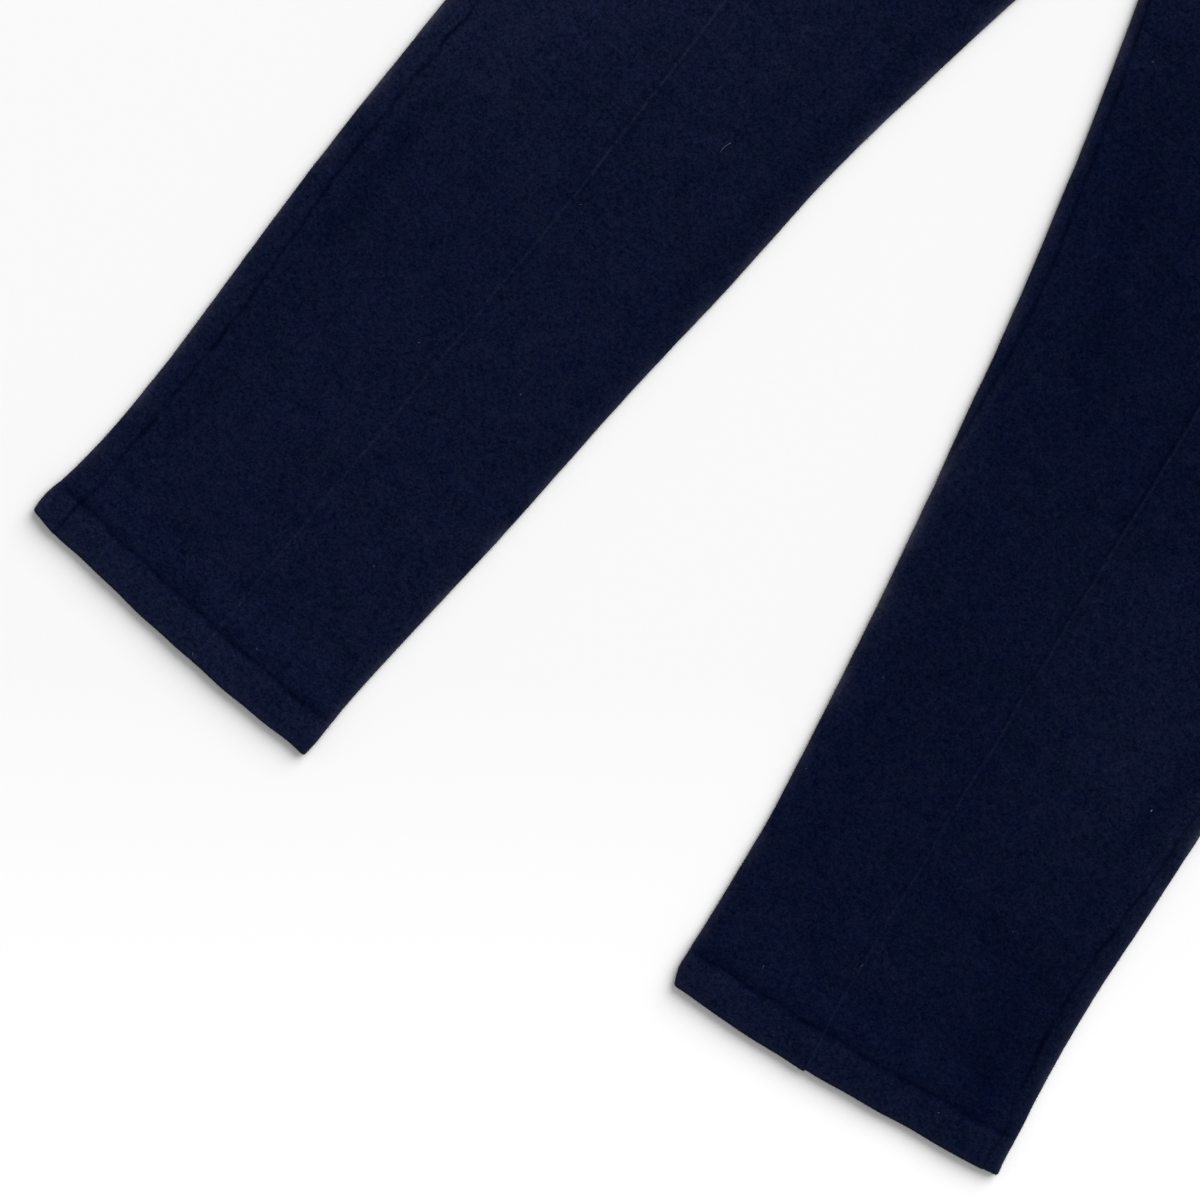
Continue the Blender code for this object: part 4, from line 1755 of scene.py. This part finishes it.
    def creased(self, laid: Laid) -> tuple[Array, Array]:
        """What all creases do at the points.

        Args:
            laid: Where the points lie.

        Returns:
            The lift, and the painted light and shade.
        """
        lift, tone = np.zeros(len(laid.up)), np.zeros(len(laid.up))
        in_front = laid.facing > BEHIND
        for creases, on in ((FRONT_CREASES[self.leg.side], in_front), (BACK_CREASES, ~in_front)):
            for crease in creases:
                ends = []
                for up, share in ((crease.up, crease.share), (crease.end_up, crease.end_share)):
                    section = self.section(up)
                    ends.append(section.inner + section.across * share * section.width)
                start, span = ends[0], ends[1] - ends[0]
                place = laid.point[:, :2] - start
                along = np.clip(place @ span / (span @ span), 0, 1)
                apart = np.linalg.norm(place - along[:, None] * span, axis=1)
                strength = bell(apart, crease.reach) * on
                lift += crease.lift * strength
                tone += crease.tone * strength
        return lift, tone

    def gathers(self, laid: Laid) -> Array:
        """How far the cloth is lifted by the waist's gathers, and by the fine ribs close to the seam.

        Args:
            laid: Where the points lie.

        Returns:
            The lift in millimetres.
        """
        side = self.leg.side if self.panel is Panel.FRONT else Side(-self.leg.side.value)
        below = WAIST_SEAM - laid.up
        rise = self.rib_rise * (gather_ribs(laid) - 0.5) * (1 - ease(*self.rib_fade, below))
        narrow, wider = self.gather_reach
        for gather in GATHERS[side]:
            run = np.clip(below / gather.length, 0, 1)
            off = (laid.share - gather.share) * laid.width - gather.drift * run
            rise += gather.lift * bell(off, narrow + wider * run) * (1 - ease(*self.gather_fade, run))
        return self.gather_rise * rise * growing(0.45, *self.gather_span, below)

    def tuck(self, laid: Laid) -> tuple[Array, Array]:
        """How high the front's pin tuck stands, and how deep the cloth dips beside it.

        The tuck leans inwards, most where the leg is widest, and the dip is deeper on that side.

        Args:
            laid: Where the points lie.

        Returns:
            The share of the full rise, and the share of the full dip.
        """
        off = laid.from_tuck - TUCK_WANDER.along(laid.up)
        standing = np.clip(0.85 - TUCK_STANDING.along(laid.up), 0.62, 1.15) * laid.outer_face
        wide = ease(*self.lean_span, laid.up) * (1 - 0.6 * ease(*self.lean_fade, laid.up))
        lean = self.lie.tuck_lean * (0.35 + 0.65 * wide)
        dips = lean * self.inner_trough.at(off) + self.outer_trough.at(off)
        return standing * bell(off, self.tuck_reach), standing * dips

    def relief(self, laid: Laid) -> Array:
        """The panel's seams, tuck, hem stitches, creases, gathers and small unevenness.

        Args:
            laid: Where the points lie.

        Returns:
            How far the surface stands off its plain form, in millimetres.
        """
        rise = self.creased(laid)[0] * ease(*self.crease_span, laid.up) * laid.outer_face
        waves = FINE_WAVES(laid.x, laid.y) + BROAD_WAVES(laid.x, laid.y)
        rise += waves * growing(0.35, *self.wave_span, laid.from_fold)
        rise += self.gathers(laid)
        band = np.clip(laid.up / HEM_DEPTH, 0, 1)
        puff = np.sin(math.pi * band) ** 0.7 * laid.outer_face * (laid.up < HEM_DEPTH)
        rise += self.hem_rise * puff * ease(*self.hem_rise_span, laid.from_fold)
        rise += self.pucker_rise * self.puckers(laid)
        groove, stitch = self.hem_groove(laid)
        rise -= self.groove_depth * groove + self.stitch_depth * stitch
        if self.panel is Panel.FRONT:
            ridge, trough = self.tuck(laid)
            rise += self.tuck_rise * ridge - self.trough_depth * trough
        for depth, _ in self.seam_grooves(laid):
            rise -= depth
        return rise - waist_groove(WAIST_SEAM - laid.up)

    def tone(self, laid: Laid) -> Array:
        """How light the panel is painted: the painted light and shade of its side, creases, gathers, folds,
        hem, tuck and seams.

        Args:
            laid: Where the points lie.

        Returns:
            The lightness, about 1.
        """
        lie = self.lie
        # The side's painted light, blending to the hips'; the creases' and gathers' painted light and shade;
        # the folds' painted sheen.
        own = lie.tone + (HIP_TONE - lie.tone) * ease(*self.hip_span, laid.up)
        light = (1 + self.creased(laid)[1] * ease(*self.crease_light_span, laid.up)) * own
        light += self.gather_light * self.gathers(laid) + self.fold_light(laid)
        # Painted shade along the rolled inseam.
        light *= 1 - self.rolled_dark * self.rolled(laid) * bell(laid.from_inseam, self.rolled_dark_reach)
        # The hem band's painted sheen, then painted shade just above the hem.
        inner, middle = lie.hem_light
        lighter = inner + (middle - inner) * ease(*self.hem_light_share, laid.share)
        band = (laid.up < HEM_DEPTH) * laid.outer_face
        light *= 1 + lighter * band * ease(*self.hem_light_span, HEM_DEPTH - laid.up)
        above = bell(laid.up - HEM_DEPTH - 3, self.hem_edge_reach) * (laid.up > HEM_DEPTH)
        light *= 1 - self.hem_edge_dark * above
        # Painted light and shade on the puckers, and painted shade in the hem's groove and at its stitches.
        light *= 1 + self.pucker_light * self.puckers(laid)
        groove, stitch = self.hem_groove(laid)
        light *= 1 - self.groove_dark * groove - self.stitch_dark * stitch
        # Painted highlight on the tuck's ridge, and painted shade in the troughs beside it.
        if self.panel is Panel.FRONT:
            ridge, trough = self.tuck(laid)
            ridge_highlight = lie.tuck_light * growing(0.65, *self.tuck_light_span, laid.up)
            light *= 1 + ridge_highlight * ridge - self.trough_dark * trough
        # Painted shade in the seam grooves.
        for _, dark in self.seam_grooves(laid):
            light *= 1 - dark
        # Painted sheen where the cloth is steep, as at the folds.
        return light * (1 + self.steep_light * (1 - np.abs(laid.facing)))


@dataclass
class Waistband(Sheet):
    """The elasticated waistband: a strip folded at its top, gathered all the way round."""

    seam_half_width: float = 196.5
    top_half_width: float = 193.5
    rib_rise: float = 1.8
    rib_top_span: Pair = (4.0, 18.0)
    rib_seam_span: Pair = (0.0, 6.0)
    scallop_span: Pair = (WAISTBAND_DEPTH - 14, WAISTBAND_DEPTH)
    wander_fade: Pair = (1.0, 12.0)
    # Painted shade in the gathers' valleys, painted light on their ribs, and painted shade at the waist seam.
    valley_tone: float = 0.80
    rib_light: float = 0.34
    seam_dark: float = 0.42
    seam_dark_reach: float = 1.2

    def section(self, up: float) -> Section:
        """The waistband's cross-section.

        Args:
            up: The height above the waist seam.

        Returns:
            The section.
        """
        half = self.seam_half_width + (self.top_half_width - self.seam_half_width) * up / WAISTBAND_DEPTH
        level = WAIST_SEAM - CROTCH + up
        ends = np.array((-half, level)), np.array((half, level))
        return Section(*ends, FOUR_LAYERS, FOUR_LAYERS, FOUR_LAYERS)

    def places(self, up: float, section: Section) -> Array:
        """The columns' places, once round from the middle of the back."""
        return ONCE_ROUND.columns(1.5 * section.length, 3.5 * section.length)

    def seam_places(self, up: float, section: Section) -> Triple:
        """Places far from any point, as the strip has no seams down it."""
        return NOWHERE, NOWHERE, NOWHERE

    def relief(self, laid: Laid) -> Array:
        """The waistband's gathers and its edge at the waist seam.

        Args:
            laid: Where the points lie.

        Returns:
            How far the surface stands off its plain form, in millimetres.
        """
        held = growing(0.55, *self.rib_top_span, WAISTBAND_DEPTH - laid.up)
        sewn = growing(0.4, *self.rib_seam_span, laid.up)
        rise = self.rib_rise * gather_ribs(laid) * held * laid.outer_face * sewn
        return rise + WAISTBAND_WAVES(laid.x, laid.y) - waist_groove(laid.up)

    def shift(self, laid: Laid) -> Array:
        """The waist seam wanders, and the top edge is uneven over the gathers."""
        scallop = (gather_ribs(laid) - 0.5) * ease(*self.scallop_span, laid.up)
        return WAIST_SEAM_WANDER.along(laid.x) * (1 - ease(*self.wander_fade, laid.up)) + scallop

    def tone(self, laid: Laid) -> Array:
        """How light the waistband is painted, about 1: painted light and shade on its ribs, painted sheen at
        its fold and painted shade at the seam.
        """
        light = self.valley_tone + self.rib_light * gather_ribs(laid) + self.fold_light(laid)
        return light * (1 - self.seam_dark * bell(laid.up, self.seam_dark_reach))


@dataclass
class StrayHairs:
    """The pale stray hairs that lie on the cloth, as one piece.

    Each hair is a tube that starts thin, swells after its first step and ends thin. It floats this stand
    above the nap.
    """

    name: str
    strands: tuple[Strand, ...]
    steps: int = 6
    sides: int = 5
    stand: float = 0.35
    swelling: float = 1.35
    narrowing: float = 0.6
    colour: Triple = (0.085, 0.110, 0.165)
    unevenness: Cloud = Cloud(0.8, 0.6, 0.0, 2.0)
    roughness: float = 0.7
    sheen: float = 0.1

    def strand(self, mesh: bmesh.types.BMesh, strand: Strand, origin: Vector) -> None:
        """Adds one hair: a ring drawn out along an arc, closed at both ends.

        Args:
            mesh: The mesh to add it to.
            strand: The hair.
            origin: The garment's origin, at the crotch.
        """
        section = Leg(strand.side).section(strand.up)
        before = len(mesh.verts)
        place = np.array([section.front_place(strand.share * section.width)])
        point = section.points(place, -self.stand - strand.thick / 2)[0][0]
        step = Vector((strand.length / self.steps * MM, 0, 0))
        ring = bmesh.ops.create_circle(mesh, segments=self.sides, radius=strand.thick / 4 * MM, cap_ends=True)
        verts = ring["verts"]
        bmesh.ops.rotate(mesh, verts=verts, matrix=Matrix.Rotation(math.pi / 2, 3, "Y"))
        heading = Matrix.Rotation(math.radians(strand.heading), 3, "Z")
        bmesh.ops.rotate(mesh, verts=verts, matrix=heading)
        bmesh.ops.translate(mesh, verts=verts, vec=Vector(point) * MM + origin)
        step.rotate(heading)
        face = verts[0].link_faces[0]
        turn = Matrix.Rotation(math.radians(strand.bend / self.steps), 3, "Z")
        for number in range(self.steps):
            made = bmesh.ops.extrude_face_region(mesh, geom=[face])["geom"]
            moved = [thing for thing in made if isinstance(thing, bmesh.types.BMVert)]
            face = next(thing for thing in made if isinstance(thing, bmesh.types.BMFace))
            step.rotate(turn)
            bmesh.ops.translate(mesh, verts=moved, vec=step)
            centre = face.calc_center_median()
            bmesh.ops.rotate(mesh, verts=moved, cent=centre, matrix=turn)
            size = {0: self.swelling, self.steps - 1: self.narrowing}.get(number, 1.0)
            for vert in moved:
                vert.co = centre + (vert.co - centre) * size
        mesh.verts.ensure_lookup_table()
        pale = mesh.verts.layers.float["pale"]
        for vert in mesh.verts[before:]:
            vert[pale] = strand.pale

    def material(self) -> bpy.types.Material:
        """Undyed hair, a little uneven in colour.

        Returns:
            The material.
        """
        material, nodes = new_material(self.name)
        uneven = nodes.math("ADD", self.unevenness.amount(nodes, nodes.place()), 1.0)
        tone = nodes.math("MULTIPLY", uneven, nodes.held("pale"))
        colour = nodes.vector("SCALE", self.colour, tone)
        nodes.surface({"Base Color": colour, "Roughness": self.roughness, "Sheen Weight": self.sheen})
        return material

    def build(self, origin: Vector) -> bpy.types.Object:
        """Makes the piece.

        Args:
            origin: The garment's origin, at the crotch.

        Returns:
            The finished object.
        """
        mesh = bmesh.new()
        mesh.verts.layers.float.new("pale")
        for strand in self.strands:
            self.strand(mesh, strand, origin)
        bmesh.ops.recalc_face_normals(mesh, faces=mesh.faces[:])
        data = finished_mesh(self.name, mesh)
        data.shade_smooth()
        data.materials.append(self.material())
        log.info("%s: %d strands", self.name, len(self.strands))
        return put_in_scene(self.name, data)


def crotch_point() -> Vector:
    """The garment's origin: the crotch, on the surface that the garment lies on."""
    low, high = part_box("waistband")
    return Vector(((low.x + high.x) / 2, high.y - (WAIST_SEAM - CROTCH + WAISTBAND_DEPTH) * MM, 0))


@dataclass
class Joggers:
    """The whole garment: two panels a side, the waistband and a few stray hairs."""

    finish: Cashmere = field(default_factory=Cashmere)
    hairs: LooseHairs = field(default_factory=LooseHairs)

    def leg_profile(self) -> list[Pair]:
        """The rows of a leg panel, from the raw end of its hem to the waist seam, closest at the seams.

        Returns:
            Pairs of a height above the hem and a depth below the outer surface.
        """
        hem = ((TIP_RADIUS, 0.9), (5, 1.5), (HEM_DEPTH - 5, 1.5), (HEM_DEPTH - 3, 0.5), (HEM_DEPTH + 3, 0.5))
        leg = ((HEM_DEPTH + 7, 1.3), (45, 2.6), (80, 4.3), (CROTCH - 40, 4.3))
        crotch = ((CROTCH - 16, 2.0), (CROTCH + 4, 2.0), (CROTCH + 30, 4.3))
        waist = ((850, 4.3), (880, 2.6), (930, 2.6), (933, 0.7), (WAIST_SEAM, 0.6))
        return tip_profile(HEM_DEPTH, graded(hem + leg + crotch + waist))

    def waistband_profile(self) -> list[Pair]:
        """The rows of the waistband, from its raw end inside, over the top and down to the waist seam.

        Returns:
            Pairs of a height above the waist seam and a depth below the outer surface.
        """
        marks = ((TIP_RADIUS, 0.9), (5, 1.6), (40, 1.6), (42, 0.6), (WAISTBAND_DEPTH, 0.6))
        rows = tip_profile(WAISTBAND_DEPTH, graded(marks))
        return [(WAISTBAND_DEPTH - up, depth) for up, depth in rows]

    def declare(
        self,
        piece: bpy.types.Object,
        node: str,
    ) -> None:
        """Attaches a sheet of cloth to the root body, and hides the model's piece that it stands for.

        Args:
            piece: The sheet.
            node: The model's piece that it stands for.
        """
        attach(piece, "root")
        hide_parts(node)

    def build(self, origin: Vector) -> None:
        """Makes every piece of the garment.

        Args:
            origin: Where its crotch is.
        """
        worn = (self.finish.cloth("cashmere_cloth"), self.finish.hairs("cashmere_hairs"))
        group = self.hairs.group(worn[1])
        for side in Side:
            for panel in Panel:
                node = f"{panel.value}_{side.name.lower()}"
                sheet = LegPanel(f"{node}_cloth", self.leg_profile(), Leg(side), panel)
                piece = sheet.build(origin, worn, group)
                self.declare(piece, node)
        band = Waistband("waistband_cloth", self.waistband_profile()).build(origin, worn, group)
        self.declare(band, "waistband")
        stray = StrayHairs("stray_hairs", STRANDS).build(origin)
        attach(stray, "root")


@dataclass(frozen=True)
class BroadLight:
    """One broad, even light from far off.

    Heading is the angle from the waist's direction towards the wearer's left, height the angle above the
    floor, and spread how wide the light looks from the garment, all in degrees.
    """

    heading: float
    height: float
    spread: float
    strength: float


@dataclass
class Studio:
    """A plain pale floor under one broad light and an even sky, with the camera above the lower legs.

    The floor grows paler across the view, between the two ends of its ramp, as a painted gradient of light.
    Lengths are in metres, and the view's turn is in degrees.
    """

    key: BroadLight = BroadLight(15.0, 38.0, 52.0, 3.2)
    sky: float = 0.49
    floor_size: float = 12.0
    floor_drop: float = 0.05 * MM
    floor_colours: Pair = (0.852, 0.922)
    floor_ramp: Pair = (0.30, 0.56)
    floor_roughness: float = 0.9
    floor_specular: float = 0.1
    view_centre: Pair = (-0.0381, -0.5555)
    view_width: float = 0.684
    view_turn: float = 34.1
    view_height: float = 3.0
    sensor: float = 36.0

    def camera(self, crotch: Vector) -> None:
        """Puts the camera straight above the garment's lower half, turned on its own axis.

        Args:
            crotch: Where the garment's crotch is, which the view's centre is measured from.
        """
        data = bpy.data.cameras.new("camera")
        data.sensor_width = self.sensor
        data.lens = self.sensor * self.view_height / self.view_width
        camera = put_in_scene("camera", data)
        camera.location = crotch + Vector((*self.view_centre, self.view_height))
        camera.rotation_euler = (0, 0, math.radians(self.view_turn))
        bpy.context.scene.camera = camera

    def light(self) -> None:
        """Sets up the broad key light and an even sky."""
        data = bpy.data.lights.new("key", "SUN")
        data.angle = math.radians(self.key.spread)
        data.energy = self.key.strength
        light = put_in_scene("key", data)
        tilt = math.radians(90 - self.key.height)
        light.rotation_euler = (tilt, 0, math.radians(180 - self.key.heading))
        world = bpy.data.worlds.new("sky")
        world.use_nodes = True
        background = world.node_tree.nodes["Background"]
        background.inputs["Color"].default_value = (1.0, 1.0, 1.0, 1.0)
        background.inputs["Strength"].default_value = self.sky
        bpy.context.scene.world = world
        bpy.context.scene.view_settings.view_transform = "Standard"

    def floor_material(self) -> bpy.types.Material:
        """Pale matt paper, with a painted gradient of light that grows paler across the view.

        Returns:
            The material.
        """
        material, nodes = new_material("floor")
        turn = math.radians(self.view_turn)
        ways = {0: nodes.place(), 1: (math.sin(turn), -math.cos(turn), 0)}
        down = nodes.add("ShaderNodeVectorMath", ways, operation="DOT_PRODUCT").outputs["Value"]
        ends = {"Value": down, "From Min": self.floor_ramp[0], "From Max": self.floor_ramp[1]}
        ends |= {"To Min": self.floor_colours[0], "To Max": self.floor_colours[1]}
        tone = nodes.add("ShaderNodeMapRange", ends).outputs[0]
        matt = {"Roughness": self.floor_roughness, "Specular IOR Level": self.floor_specular}
        nodes.surface({"Base Color": tone} | matt)
        return material

    def floor(self) -> None:
        """Lays the pale floor just under the garment."""
        mesh = bmesh.new()
        bmesh.ops.create_grid(mesh, x_segments=8, y_segments=8, size=self.floor_size)
        bmesh.ops.translate(mesh, vec=(0, 0, -self.floor_drop), verts=mesh.verts)
        data = finished_mesh("floor", mesh)
        data.materials.append(self.floor_material())
        floor = put_in_scene("floor", data)

    def build(self, crotch: Vector) -> None:
        """Sets the whole studio up.

        Args:
            crotch: Where the garment's crotch is.
        """
        self.camera(crotch)
        self.light()
        self.floor()
        log.info("studio: camera, light and floor")


def main() -> None:
    """Builds the studio and the garment."""
    logging.basicConfig(level=logging.INFO, format="%(message)s")
    crotch = crotch_point()
    Studio().build(crotch)
    Joggers().build(crotch)


if __name__ == "__main__":
    main()
